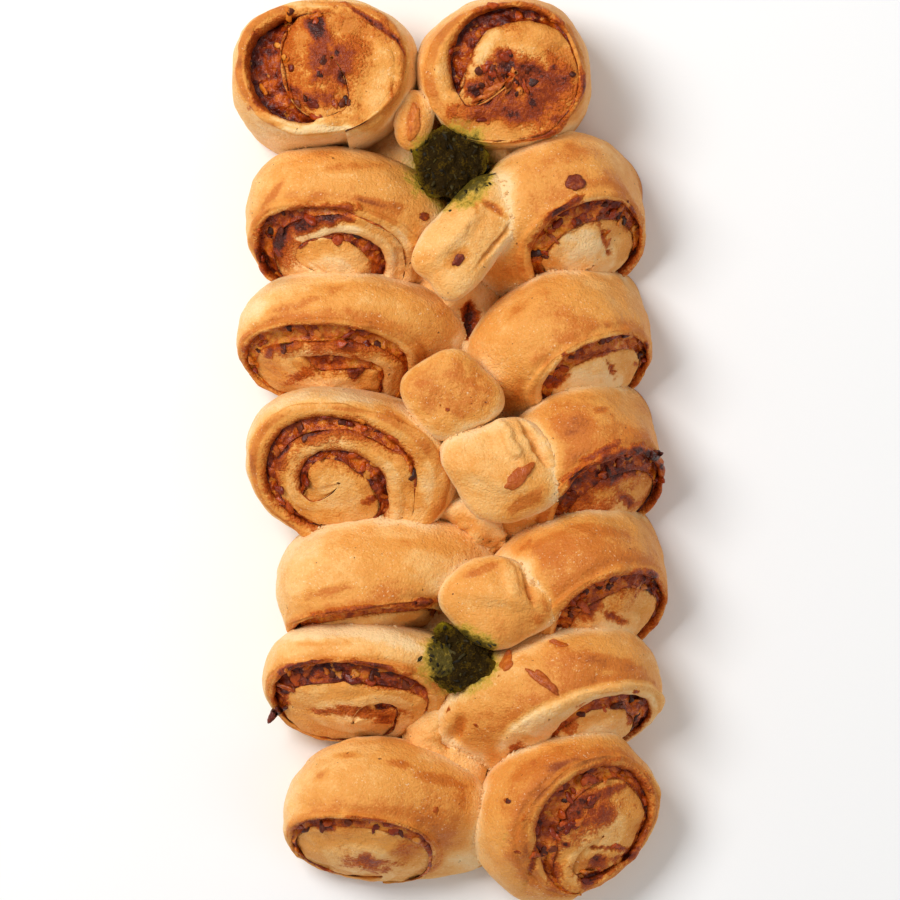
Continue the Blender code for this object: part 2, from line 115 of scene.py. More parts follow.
SLICES = [
    slice_of("left_1", x=-54, y=160.5, foot=(-52, 152.5), heading=0, lean=97, wide=72, high=57, top=53,
             foot_wide=74, foot_high=61, puff=-4, drop=22, swell=5, reach=2, turns=2.0, wall=0.15,
             wall_at=75, trench=-0.03, trench_more=0.37, trench_at=190, late=110, dome=3, hood=0,
             core_right=5, core_up=3, tone=-0.05, face=0.4, run=3.5, slope=9, dark=1.0, recess=10,
             chunky=0.35),
    slice_of("right_1", x=23, y=157, foot=(24.5, 155), heading=10, lean=84, wide=69, high=59, top=56,
             foot_wide=70, foot_high=61, puff=2, drop=24, swell=5, reach=2, spin=1, start=235, turns=1.93,
             wall=0.09, wall_more=0.24, band=0.3, trench=0.02, trench_more=0.23, trench_at=112, late=30,
             dome=4, hood=0, core_right=5, core_up=0, tone=0.0, face=0.5, run=4, slope=6, dark=0.9,
             recess=8, chunky=0.6),
    slice_of("left_2", x=-48, y=82.5, foot=(-44, 100), heading=-8, lean=46, wide=73, turns=2.7, wall=0.12,
             wall_more=0.06, trench=0.02, trench_more=0.15, trench_at=165, inner_more=0.13, inner_at=20,
             late=90, dome=9, core_up=-5, puff=34, reach=16, tone=0.05, face=0.25, run=3, slope=13,
             dark=0.7),
    slice_of("right_2", x=56, y=86, foot=(48, 101), heading=28, lean=40, wide=58, trench_more=0.17, puff=48,
             reach=32, tone=0.0, face=0.2, run=3, slope=9, dark=0.5),
    slice_of("left_3", x=-49, y=37, foot=(-42, 51), heading=-6, lean=38, wide=79, turns=2.65, wall=0.1,
             band=0.22, trench=0.04, trench_more=0.18, dome=8, core_up=-9, puff=28, reach=24,
             tone=-0.05, face=0.4, run=3, slope=8, dark=0.3),
    slice_of("right_3", x=59, y=31, foot=(46, 51), heading=31, lean=33, wide=57, high=62, trench_more=0.13,
             puff=44, reach=28, tone=0.0, face=0.15, run=3, slope=7, dark=0.45),
    slice_of("left_4", x=-43, y=-11, foot=(-40, 0), heading=-8, lean=62, wide=84, high=68, top=60,
             foot_wide=84, puff=8, drop=16, swell=4, reach=4, turns=2.85, wall=0.2, wall_more=0.1,
             band=0.27, trench=0.06, trench_more=0.08, trench_at=125, inner_more=0.1, inner_at=40, dome=5,
             core_right=-3, core_up=-2, hood=0, late=55, tone=-0.1, face=0.3, run=4, slope=6, dark=0.6),
    slice_of("right_4", x=65, y=-20, foot=(52, 1), heading=32, lean=35, wide=58, high=63, trench_more=0.17,
             puff=44, reach=30, tone=0.1, face=0.75, run=4, slope=16, dark=0.8),
    slice_of("left_5", x=-34, y=-71, foot=(-32, -49), heading=8, lean=17, wide=70, high=55, turns=2.0,
             wall=0.12, puff=48, dome=9, reach=34, tone=-0.05, face=0.4, run=3, slope=5, dark=0.4),
    slice_of("right_5", x=65.5, y=-70, foot=(52, -49), heading=31, lean=37, wide=57, trench_more=0.15,
             puff=42, reach=30, tone=0.1, face=0.35, run=4, slope=12, dark=0.85),
    slice_of("left_6", x=-39.5, y=-105, foot=(-36, -99), heading=-6, lean=40, wide=75, high=62, top=56,
             turns=2.4, wall=0.09, band=0.3, trench=0.03, trench_more=0.26, trench_at=110, dome=10, puff=24,
             reach=40, tone=-0.2, face=0.3, run=3, slope=5, dark=0.95),
    slice_of("right_6", x=56, y=-117, foot=(44, -99), heading=21, lean=33, wide=71, high=60, wall=0.2,
             wall_at=165, wall_more=0.36, trench=0.06, trench_more=0.16, trench_at=20, puff=44, reach=40,
             foot_wide=81, tone=0.0, face=0.1, run=2.5, slope=5, dark=0.55, rim=-0.05),
    slice_of("left_7", x=-36, y=-167, foot=(-29, -150), heading=-8, lean=33, wide=68, high=58, top=55,
             turns=2.0, wall=0.1, wall_more=0.02, trench=0.03, trench_more=0.14, trench_at=95, puff=44,
             dome=8, reach=38, foot_wide=74, tone=0.0, face=0.4, run=3, slope=5, dark=0.55),
    slice_of("right_7", x=58.5, y=-157, foot=(43.5, -153), heading=48, lean=56, wide=65, high=64,
             foot_wide=72, foot_high=62, start=222, turns=2.1, wall=0.18, trench_more=0.14, trench_at=110,
             puff=18, drop=14, swell=6, reach=10, dome=4, tone=0.0, face=0.65, run=4, slope=8, dark=0.6),
]
# What the oven left on each slice, seen from above: sauce that ran out, char, browning, a pale place, oil or
# a heap of bits. A few dark marks in deep clefts are painted shade instead. Then the picture's column and
# row, its length and width in pixels, its heading in degrees, how strong it is, and how deep it is pressed
# in, in mm.
MARKS = dict(
    left_1=[("heap", 288, 38, 50, 9, 71, 3.0), ("heap", 286, 80, 42, 9, -76, 3.0),
            ("heap", 303, 110, 36, 9, -35, 3.0), ("heap", 347, 94, 34, 6, 88, 2.0),
            ("heap", 330, 114, 34, 6, 15, 2.5), ("brown", 376, 84, 80, 90, 0, 0.16),
            ("pale", 335, 140, 150, 16, 0, 0.5), ("pale", 296, 9, 80, 9, -3, 0.5),
            ("sauce", 262, 74, 64, 18, 93, 0.7, 1.5), ("char", 268, 52, 34, 9, 68, 0.75, -0.8),
            ("char", 282, 92, 30, 13, -20, 0.75, -0.8), ("sauce", 318, 31, 24, 17, 80, 0.8),
            ("sauce", 322, 54, 46, 24, 82, 0.5), ("sauce", 338, 76, 54, 28, 60, 0.45),
            ("sauce", 310, 104, 66, 16, -8, 0.5), ("brown", 325, 60, 120, 100, 0, 0.3),
            ("sauce", 374, 28, 62, 6, -36, 0.8, 0.8), ("sauce", 405, 54, 30, 5, -55, 0.7, 0.6),
            ("char", 339, 60, 6, 9, 0, 0.9), ("char", 343, 82, 7, 8, 0, 0.9),
            ("pale", 384, 84, 74, 26, 80, 0.3), ("pale", 300, 130, 110, 16, -4, 0.35),
            ("pale", 342, 137, 18, 7, 0, 0.6, 0.7), ("char", 251, 115, 6, 5, 0, 1.1),
            ("char", 315, 110, 10, 6, -30, 1.0), ("char", 333, 99, 7, 5, 0, 0.9),
            ("brown", 276, 131, 12, 6, -30, 0.3), ("brown", 392, 98, 34, 5, 85, 0.25),
            ("brown", 330, 129, 20, 5, 0, 0.2)],
    right_1=[("heap", 506, 84, 60, 38, 8, 2.2), ("heap", 507, 68, 26, 20, 0, 1.5),
            ("heap", 512, 28, 70, 5, 2, 1.5), ("sauce", 506, 84, 62, 42, 8, 0.8, 1.5),
            ("sauce", 507, 66, 26, 22, 0, 0.5, 0.5), ("sauce", 474, 96, 34, 14, -35, 0.9, 1.5),
            ("char", 468, 62, 40, 8, 68, 0.6), ("char", 500, 25, 60, 8, 8, 0.6),
            ("char", 540, 26, 40, 6, -10, 0.7, -0.5), ("char", 509, 90, 22, 5, 85, 0.8, 0.8),
            ("sauce", 502, 119, 110, 18, -4, 0.6), ("sauce", 548, 98, 50, 22, 50, 0.4),
            ("pale", 484, 60, 44, 14, 60, 0.25, -1.0), ("pale", 528, 40, 80, 18, -12, 0.05, -1.0),
            ("brown", 562, 84, 60, 24, -75, 0.35), ("char", 511, 119, 15, 6, -12, 0.9),
            ("char", 533, 109, 7, 6, 0, 0.9), ("char", 552, 75, 7, 6, 0, 0.9),
            ("sauce", 582, 84, 34, 7, -80, 0.7, 0.8), ("pale", 440, 100, 70, 20, 80, 0.15),
            ("sauce", 530, 144, 60, 8, 14, 0.5), ("brown", 520, 118, 110, 30, -4, 0.3),
            ("brown", 548, 90, 60, 50, 0, 0.25)],
    left_2=[("brown", 355, 172, 80, 7, 4, 0.25), ("brown", 320, 158, 44, 5, 2, 0.2),
            ("brown", 278, 196, 34, 8, 50, 0.3), ("brown", 378, 207, 44, 9, -8, 0.4),
            ("sauce", 274, 250, 56, 22, 62, 0.8), ("sauce", 315, 222, 90, 20, 12, 0.65),
            ("pale", 338, 236, 70, 9, 8, 0.6), ("char", 426, 219, 8, 6, 0, 0.8),
            ("pale", 405, 238, 50, 18, 80, 0.3), ("char", 350, 224, 10, 5, 0, 0.6),
            ("pale", 348, 256, 56, 24, 0, 0.15), ("brown", 300, 212, 60, 8, 30, 0.3)],
    right_2=[("sauce", 560, 226, 50, 24, 35, 0.6), ("char", 564, 211, 44, 8, 35, 0.8),
            ("char", 597, 213, 22, 9, 5, 0.9), ("char", 617, 208, 14, 8, 0, 0.9),
            ("sauce", 607, 246, 26, 7, -70, 1.0, 1.5), ("sauce", 540, 250, 22, 18, 60, 0.6, 0.8),
            ("brown", 575, 150, 50, 9, -20, 0.2), ("char", 633, 215, 12, 7, -70, 0.8),
            ("pale", 578, 250, 60, 30, 10, 0.4)],
    left_3=[("brown", 345, 290, 70, 9, -2, 0.2), ("brown", 300, 305, 60, 8, 15, 0.25),
            ("char", 313, 337, 18, 8, 10, 0.8), ("char", 289, 343, 16, 7, 30, 0.8),
            ("char", 273, 354, 12, 7, 50, 0.7), ("char", 400, 350, 22, 6, -40, 0.7),
            ("char", 346, 331, 26, 6, -4, 0.6), ("sauce", 357, 368, 24, 16, 80, 1.0, 2.0),
            # The second sauce mark on the next line, at 470, 321, is painted shade: a near-black pocket in
            # the cleft by the spine.
            ("sauce", 302, 376, 30, 12, 20, 0.6), ("sauce", 470, 321, 24, 12, 75, 0.8, 1.5),
            ("pale", 466, 346, 24, 18, 0, 0.6), ("char", 398, 292, 5, 4, 0, 0.7),
            ("pale", 258, 312, 30, 22, 60, 0.3)],
    right_3=[("sauce", 600, 352, 66, 12, 20, 0.6), ("char", 596, 350, 40, 5, 18, 0.8),
            ("char", 645, 348, 10, 6, 80, 1.0), ("char", 638, 366, 8, 6, 0, 1.0),
            ("char", 564, 357, 7, 5, 0, 0.8), ("sauce", 613, 372, 18, 6, -60, 1.0, 1.5),
            ("sauce", 560, 381, 26, 9, 30, 0.7), ("brown", 620, 290, 40, 12, -50, 0.2),
            ("brown", 520, 310, 30, 10, 40, 0.2), ("pale", 590, 374, 50, 24, 15, 0.25)],
    left_4=[("char", 318, 432, 30, 7, 12, 0.8), ("char", 284, 453, 22, 7, 50, 0.8),
            ("char", 350, 428, 30, 6, -4, 0.7), ("char", 391, 441, 24, 6, -32, 0.7),
            ("char", 413, 466, 18, 6, -80, 0.7), ("char", 288, 505, 16, 6, -40, 0.7),
            ("char", 372, 500, 16, 7, 30, 0.7), ("brown", 398, 415, 50, 9, -25, 0.35),
            ("pale", 322, 400, 130, 22, 6, 0.35), ("pale", 433, 480, 50, 22, 85, 0.35),
            ("brown", 338, 472, 150, 96, 0, 0.15)],
    right_4=[("sauce", 612, 468, 90, 30, 20, 0.75), ("char", 653, 455, 14, 9, 0, 1.0),
            ("char", 663, 467, 10, 9, 0, 1.0), ("char", 600, 451, 52, 8, 27, 0.6),
            ("sauce", 627, 501, 18, 8, -40, 0.9, 1.5), ("brown", 600, 412, 14, 6, 0, 0.35),
            ("brown", 560, 430, 60, 20, 20, 0.2), ("char", 575, 480, 16, 10, 60, 0.8)],
    left_5=[("sauce", 372, 607, 110, 7, 4, 0.7, 0.5), ("char", 426, 602, 16, 8, 0, 0.8, -0.8),
            ("brown", 432, 600, 44, 5, 4, 0.6), ("brown", 330, 590, 60, 9, 12, 0.3),
            ("brown", 430, 545, 70, 12, -10, 0.2), ("char", 318, 614, 24, 5, 10, 0.5)],
    right_5=[("char", 612, 585, 56, 12, 27, 0.8), ("sauce", 590, 606, 30, 16, 40, 0.8),
            ("sauce", 616, 619, 26, 7, -20, 0.8, 1.5), ("char", 653, 574, 14, 9, 0, 0.8),
            ("brown", 600, 530, 60, 10, -10, 0.2), ("brown", 520, 545, 30, 12, 30, 0.25)],
    left_6=[("heap", 330, 668, 90, 9, 8, 1.2), ("char", 302, 664, 44, 8, 15, 0.8),
            ("char", 382, 665, 44, 7, -14, 0.7), ("sauce", 360, 711, 90, 12, -3, 0.65, 1.0),
            ("char", 386, 720, 22, 9, 0, 0.7), ("sauce", 284, 692, 32, 14, 85, 0.9),
            ("brown", 330, 640, 70, 6, 3, 0.25), ("pale", 400, 640, 60, 14, -15, 0.25),
            ("pale", 335, 633, 130, 16, 0, 0.3)],
    right_6=[("pale", 522, 726, 100, 22, 34, 0.3), ("sauce", 636, 716, 20, 18, 0, 0.8, 0.8),
            ("sauce", 570, 726, 18, 14, 30, 0.6), ("char", 602, 700, 54, 6, 8, 0.7),
            ("sauce", 520, 750, 22, 18, 60, 0.8, 1.0), ("char", 501, 673, 4, 4, 0, 1.0),
            ("char", 476, 723, 6, 4, 0, 1.0), ("char", 635, 691, 6, 4, 0, 1.0),
            # The brown mark at 456, 732 on the next line is painted shade, darkening the cleft where this
            # slice meets the spine.
            ("char", 450, 708, 5, 4, 0, 0.9), ("brown", 456, 732, 30, 13, 65, 0.45, 3.0),
            ("brown", 559, 642, 16, 7, -25, 0.5), ("brown", 600, 660, 60, 12, -10, 0.25),
            ("brown", 560, 660, 70, 30, -20, 0.15)],
    left_7=[("brown", 400, 760, 34, 8, -6, 0.35), ("brown", 350, 752, 30, 6, 0, 0.35),
            ("brown", 322, 772, 18, 8, 30, 0.3), ("char", 329, 825, 14, 6, 0, 0.8),
            ("char", 395, 827, 16, 6, -20, 0.8), ("char", 365, 817, 34, 5, 0, 0.6),
            ("sauce", 367, 862, 52, 16, -5, 0.7, 1.0), ("brown", 410, 852, 34, 22, 20, 0.3),
            ("char", 438, 808, 5, 11, 0, 0.7), ("brown", 440, 775, 60, 12, -12, 0.25)],
    right_7=[("heap", 576, 812, 60, 12, 48, 1.2), ("sauce", 596, 812, 34, 24, 30, 0.6),
            ("sauce", 566, 812, 64, 20, 48, 0.6, 0.5), ("char", 556, 822, 24, 8, 55, 0.8),
            ("char", 602, 791, 44, 8, 20, 0.7), ("sauce", 616, 846, 56, 4, -4, 0.8, 0.5),
            ("sauce", 620, 856, 42, 8, 5, 0.7, 1.0), ("sauce", 594, 873, 34, 18, 65, 0.9, 1.8),
            ("sauce", 532, 860, 60, 5, 75, 0.8, 1.0), ("char", 508, 797, 6, 5, 0, 1.0),
            ("char", 518, 847, 5, 4, 0, 1.0), ("char", 550, 864, 6, 5, 0, 1.0),
            ("char", 566, 841, 6, 5, 0, 1.0), ("oil", 500, 842, 34, 6, 60, 0.35),
            ("brown", 580, 760, 70, 10, 5, 0.25)],
)
# Where the pesto lies, and how far it reaches across and along the loaf.
POOLS = [(1.5, 118.5, 17.5, 17), (4, -88, 15.5, 14)]
TURNED = np.array(((0.36, 0.48, -0.8), (-0.8, 0.6, 0.0), (0.48, 0.64, 0.6)))


def smooth(value):
    value = np.clip(value, 0, 1)
    return value * value * (3 - 2 * value)


def noise(points, size, seed=0):
    """Smooth noise from -1 to 1 whose lumps are about size mm across."""
    place = points @ TURNED / size + seed * 7.31
    cell = np.floor(place).astype(np.int64)
    part = place - cell
    part = part * part * (3 - 2 * part)
    total = np.zeros(points.shape[:-1])
    for corner in range(8):
        step = np.array([corner >> i & 1 for i in range(3)])
        mixed = ((cell + step) * (73856093, 19349663, 83492791)).sum(-1) + seed * 1013
        mixed = (mixed ^ mixed >> 13) * 1274126177 & 0xFFFFFFFF
        level = ((mixed ^ mixed >> 16) & 0xFFFF) / 32767.5 - 1
        total += level * np.where(step, part, 1 - part).prod(-1)
    return total


def axes_of(roll):
    """The cut's directions: across it, up it and straight out of it, and level towards the loaf's head."""
    heading, lean = math.radians(roll.heading), math.radians(roll.lean)
    across = np.array((math.cos(heading), math.sin(heading), 0))
    back = np.array((-math.sin(heading), math.cos(heading), 0))
    ahead = np.array((0, 0, math.sin(lean))) - back * math.cos(lean)
    return across, np.cross(ahead, across), ahead, back


def oval(roll, angle, wide, high):
    """Points of a squarish, slightly lumpy oval."""
    power, phase = 2 / roll.square, roll.x + roll.y
    lumps = 1 + roll.lump * (np.sin(2 * angle + phase) + np.sin(3 * angle - 2 * phase))
    right, up = np.cos(angle), np.sin(angle)
    right = np.sign(right) * abs(right) ** power * wide / 2
    up = np.sign(up) * abs(up) ** power * high / 2
    return np.stack((right * lumps, up * lumps), -1)


def on_cut(roll, share, angle):
    """The point of the upper cut at an angle and a share of the radius."""
    across, up, ahead, _ = axes_of(roll)
    share = np.asarray(share)[..., None]
    core = np.array((roll.core_right, roll.core_up))
    flat = oval(roll, angle, roll.wide, roll.high) * share + core * (1 - share)
    middle = np.array((roll.x, roll.y, roll.top - roll.high / 2 * up[2]))
    lift = roll.dome * (1 - share) + roll.hood * share * np.maximum(0, np.sin(angle))[..., None]
    return middle + across * flat[..., :1] + up * flat[..., 1:] + ahead * lift


def on_foot(roll, share, angle):
    """The same point of the lower cut, on the floor."""
    across, _, _, back = axes_of(roll)
    share = np.asarray(share)[..., None]
    core = np.array((roll.core_right, roll.core_up)) * (roll.foot_high / roll.high)
    flat = oval(roll, angle, roll.foot_wide, roll.foot_high) * share + core * (1 - share)
    return np.array((*roll.foot, 0)) + across * flat[..., :1] + back * flat[..., 1:]


def down_wall(roll, share, angle, depth):
    """The point so many millimetres below the upper cut, on the way to the lower one."""
    start, end = on_cut(roll, share, angle), on_foot(roll, share, angle)
    line = end - start
    return start + line / np.linalg.norm(line, axis=-1, keepdims=True) * np.asarray(depth)[..., None]


def winding(roll):
    """The strip's stations: its angle, and where its outer and inner sides lie, as shares of the radius.
    Past the end of the last turn it eases down and runs out to a point at the eye."""
    turn = TURN_STEPS * FINE
    end = round(roll.turns * TURN_STEPS) * FINE
    count = end + round(turn * 40 / 360)
    turned = np.arange(count + 1) / turn * TAU
    angle = math.radians(roll.start) + roll.spin * turned
    wall = roll.wall + roll.wall_more * np.maximum(0, np.cos(angle - math.radians(roll.wall_at)))
    inner_turn = smooth((turned - 2 * TAU) / SEAM + 0.5)
    more = roll.trench_more * np.maximum(0, np.cos(angle - math.radians(roll.trench_at))) * (1 - inner_turn)
    more += roll.inner_more * np.maximum(0, np.cos(angle - math.radians(roll.inner_at))) * inner_turn
    trench = roll.trench + more
    # The groove opens slowly, and is pressed shut before it begins and where the strip runs out.
    begun = smooth((turned - TAU - math.radians(roll.late)) / SEAM)
    trench = trench * (0.1 + 0.9 * begun) - (0.012 if roll.late else 0) * (1 - begun)
    ease = smooth((turned - turned[end]) / 0.5 + 1)
    trench = trench * (1 - ease) - 0.06 * ease
    thick = wall + (roll.band - wall) * np.clip((turned - TAU) / (TAU / TURN_STEPS) + 1, 0, 1)
    thick *= TIP + (1 - TIP) * smooth(turned / SEAM)
    outer = 1 - (wall[0] * TIP + max(trench[0], 0)) * smooth((turned - TAU + SEAM) / SEAM)
    closing = smooth((turned - (turned[end] - TAU)) / math.radians(40))
    inner = np.zeros_like(outer)
    for start in range(0, count + 1, turn):
        here = slice(start, min(start + turn, count + 1))
        if start:
            outer[here] = inner[here.start - turn : here.stop - turn] - trench[here]
        inner[here] = outer[here] - thick[here]
        inner[here] = np.maximum(inner[here] + (EYE - inner[here]) * closing[here], EYE)
    outer = np.maximum(outer, inner + 0.012)
    from_core = oval(roll, angle, roll.wide, roll.high) - (roll.core_right, roll.core_up)
    size = np.linalg.norm(from_core, axis=-1)
    gap_in = np.concatenate((inner[: count + 1 - turn] - outer[turn:], np.zeros(turn))) * size
    gap_out = np.concatenate((np.zeros(turn), gap_in[: count + 1 - turn]))
    open_in, open_out = smooth(gap_in / 3), smooth(gap_out / 3)
    depth_in = 0.5 + (roll.recess - 0.5) * open_in
    depth_out = np.where(turned < TAU, RIM, 0.3 + (0.6 * roll.recess - 0.3) * open_out)
    return SimpleNamespace(turned=turned, angle=angle, ease=ease, outer=outer, inner=inner,
                           closing=closing, size=size, turn=turn, gap=gap_in, open_in=open_in,
                           open_out=open_out, depth_in=depth_in, depth_out=depth_out)


def arc(start, knee, end, along):
    """Points of a bend from start to end that aims at its knee, one row of points for each share of it."""
    along = along[None, :, None]
    start, knee, end = start[:, None], knee[:, None], end[:, None]
    return start * (1 - along) ** 2 + knee * 2 * along * (1 - along) + end * along**2


def normals_of(grid):
    """Outward directions of a closed strip of points, from its neighbours along and across."""
    along = np.gradient(grid, axis=0)
    across = np.roll(grid, -1, 1) - np.roll(grid, 1, 1)
    normal = np.cross(across, along)
    normal /= np.maximum(np.linalg.norm(normal, axis=-1, keepdims=True), 1e-9)
    centre = grid.mean(1, keepdims=True)
    turn = np.sign(((grid - centre) * normal).sum((-1, -2)))[:, None, None]
    return normal * np.sign(np.median(turn))


def inside_box(points):
    """Points near the loaf's own box are eased in, so that no lump stands out of it."""
    low, high = np.array(cad_box[0]) / MM, np.array(cad_box[1]) / MM
    room = 1.5  # how near to the box the easing starts, in mm
    over = np.maximum(points - (high - room), 0)
    under = np.maximum(low + room - points, 0)
    return points - over + room * (1 - np.exp(-over / room)) + under - room * (1 - np.exp(-under / room))


def put_numbers(mesh, name, numbers):
    """A number for each point of the mesh, for its material or the scattering to read."""
    numbers = np.ravel(numbers).astype(np.float32)
    mesh.attributes.new(name, "FLOAT", "POINT").data.foreach_set("value", numbers)


def mesh_of(name, grid, values):
    """A closed solid through a grid of points, stations by rows, with a number per point for each value."""
    stations, rows = grid.shape[:2]
    number = np.arange(stations * rows).reshape(stations, rows)
    after = np.roll(number, -1, 1)
    quads = np.stack((number[:-1], after[:-1], after[1:], number[1:]), -1).reshape(-1, 4)
    mesh = bpy.data.meshes.new(name)
    faces = quads.tolist() + [number[0, ::-1].tolist(), number[-1].tolist()]
    flat = inside_box(grid)
    flat[..., 2] = np.where(grid[..., 2] < 1.5, np.maximum(grid[..., 2], 0), flat[..., 2])
    mesh.from_pydata((flat.reshape(-1, 3) * MM).tolist(), [], faces)
    for key, value in values.items():
        put_numbers(mesh, key, value)
    model = bmesh.new()
    model.from_mesh(mesh)
    bmesh.ops.recalc_face_normals(model, faces=model.faces)
    model.to_mesh(mesh)
    model.free()
    mesh.shade_smooth()
    piece = bpy.data.objects.new(name, mesh)
    bpy.context.scene.collection.objects.link(piece)
    return piece


def nearest(points, tree, far):
    """How far each point is from the tree's surface, in mm, up to far."""
    flat = (points.reshape(-1, 3) * MM).tolist()
    found = np.full(len(flat), float(far))
    for number, point in enumerate(flat):
        gap = tree.find_nearest(point, far * MM)[3]
        if gap is not None:
            found[number] = gap / MM
    return found.reshape(points.shape[:-1])


def tree_of(names):
    """The solids of these nodes, to measure distances from."""
    points, faces = [], []
    for name in names:
        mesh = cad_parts[name].data
        faces += [[len(points) + i for i in face.vertices] for face in mesh.polygons]
        points += [vert.co.copy() for vert in mesh.vertices]
    return BVHTree.FromPolygons(points, faces)


def shielding(name, points, reach):
    """How far the other pieces of dough are, in mm, and how much they shielded this one from the oven."""
    others = [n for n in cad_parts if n.startswith(("roll", "knob", "spine")) and n != name]
    gap = nearest(points, tree_of(others), 14)
    return gap, np.exp(-((gap / reach) ** 2)) + 0.6 * np.exp(-((gap / 1.6) ** 2))


def seen_at(column, row):
    """Where a point of the picture lies on the loaf, in mm."""
    return np.array(((column - 450) * PIXEL, (450 - row) * PIXEL)) + SHIFT[:2]


def marks_on(name, points, facing):
    """The piece's marks on its points: what each kind adds, and how deep they are pressed in, in mm."""
    kinds = ("sauce", "char", "brown", "pale", "oil", "heap", "dent")
    total = {kind: np.zeros(points.shape[:-1]) for kind in kinds}
    for number, (kind, column, row, long, wide, heading, strength, *dent) in enumerate(MARKS.get(name, ())):
        turn = math.radians(heading)
        flat = points[..., :2] - seen_at(column, row)
        along = flat @ (math.cos(turn), math.sin(turn)) / (long * PIXEL / 2)
        beside = flat @ (-math.sin(turn), math.cos(turn)) / (wide * PIXEL / 2)
        ragged = noise(points, 4, number) * 0.35 + noise(points, 1.8, number + 1) * 0.25
        here = smooth((1.5 - np.hypot(along, beside) + ragged) / 1.0) * facing
        total[kind] = total[kind] + here * strength
        total["dent"] = total["dent"] + here * (dent[0] if dent else 0)
    return SimpleNamespace(**total)


class Value:
    """What runs through a node tree: a number, a colour or a mesh. Numbers add and multiply as in Python."""

    def __init__(self, tree, socket):
        self.tree, self.socket = tree, socket

    def made(self, kind, settings=None, out=0, **values):
        """A new node's output. Its sockets are given by name, or by number as _0, _1 and so on."""
        node = self.tree.nodes.new(kind)
        for key, setting in (settings or {}).items():
            setattr(node, key, setting)
        for key, value in values.items():
            socket = node.inputs[int(key[1:])] if key[0] == "_" else node.inputs[key.replace("_", " ")]
            if isinstance(value, Value):
                self.tree.links.new(value.socket, socket)
            else:
                socket.default_value = value
        return Value(self.tree, node.outputs[out])

    def math(self, operation, *others):
        values = {f"_{i}": other for i, other in enumerate(others)}
        return self.made("ShaderNodeMath", dict(operation=operation), **values)

    def __add__(self, other):
        return self.math("ADD", self, other)

    def __sub__(self, other):
        return self.math("SUBTRACT", self, other)

    def __rsub__(self, other):
        return self.math("SUBTRACT", other, self)

    def __mul__(self, other):
        return self.math("MULTIPLY", self, other)

    __radd__, __rmul__ = __add__, __mul__

    def between(self, low, high):
        """0 below low, 1 above high, smooth in between."""
        return self.made("ShaderNodeMapRange", dict(interpolation_type="SMOOTHSTEP"), _0=self, _1=low,
                         _2=high)

    def mix(self, first, second):
        """first where this is 0, second where it is 1."""
        colours = [(*c, 1) if isinstance(c, tuple) else c for c in (first, second)]
        return self.made("ShaderNodeMix", dict(data_type="RGBA"), 2, _0=self, _6=colours[0], _7=colours[1])

    def shades(self, lowest, *steps):
        """A colour that changes as this grows: each step says from where to where, and into what."""
        colour = srgb(*lowest)
        for low, high, *screen in steps:
            colour = self.between(low, high).mix(colour, srgb(*screen))
        return colour

    def read(self, name):
        """The numbers that the mesh carries under this name."""
        return self.made("ShaderNodeAttribute", dict(attribute_name=name), 2)

    def lumps(self, size, out=1):
        """A number for each lump of about size mm (1), or the distance from its middle (0)."""
        place = self.made("ShaderNodeTexCoord", None, 3)
        shifted = self.made("ShaderNodeTexNoise", None, 1, Vector=place, Scale=1000 / size, Detail=2.0)
        place = self.made("ShaderNodeVectorMath", dict(operation="MULTIPLY_ADD"), _0=shifted,
                          _1=(size * MM * 0.9,) * 3, _2=place)
        return self.made("ShaderNodeTexVoronoi", None, out, Vector=place, Scale=1000 / size)

    def speckle(self, size, detail=3.0, rough=0.55, stretch=None):
        """Noise whose lumps are about size mm across; stretch squeezes it along the axes."""
        place = self.made("ShaderNodeTexCoord", None, 3)
        if stretch:
            place = self.made("ShaderNodeVectorMath", dict(operation="MULTIPLY"), _0=place, _1=stretch)
        return self.made("ShaderNodeTexNoise", None, 0, Vector=place, Scale=1000 / size, Detail=detail,
                         Roughness=rough)

    def into(self, shader, socket):
        self.tree.links.new(self.socket, shader.inputs[socket])

    def bump(self, shader, depth, strength=0.9):
        """This as the finest relief of the surface, depth metres deep."""
        surface = self.made("ShaderNodeBump", None, 0, Strength=strength, Distance=depth, Height=self)
        surface.into(shader, "Normal")


def material_of(name, **even):
    """A new material, its shader and what starts its values. What is the same all over is set here."""
    material = bpy.data.materials.new(name)
    material.use_nodes = True
    shader = material.node_tree.nodes["Principled BSDF"]
    for key, value in even.items():
        shader.inputs[key.replace("_", " ")].default_value = value
    return material, shader, Value(material.node_tree, None)


def srgb(*screen):
    """A colour as it looks on a screen, 0 to 255, turned into the shader's own numbers."""
    shares = (part / 255 for part in screen)
    return tuple(c / 12.92 if c <= 0.04045 else ((c + 0.055) / 1.055) ** 2.4 for c in shares)


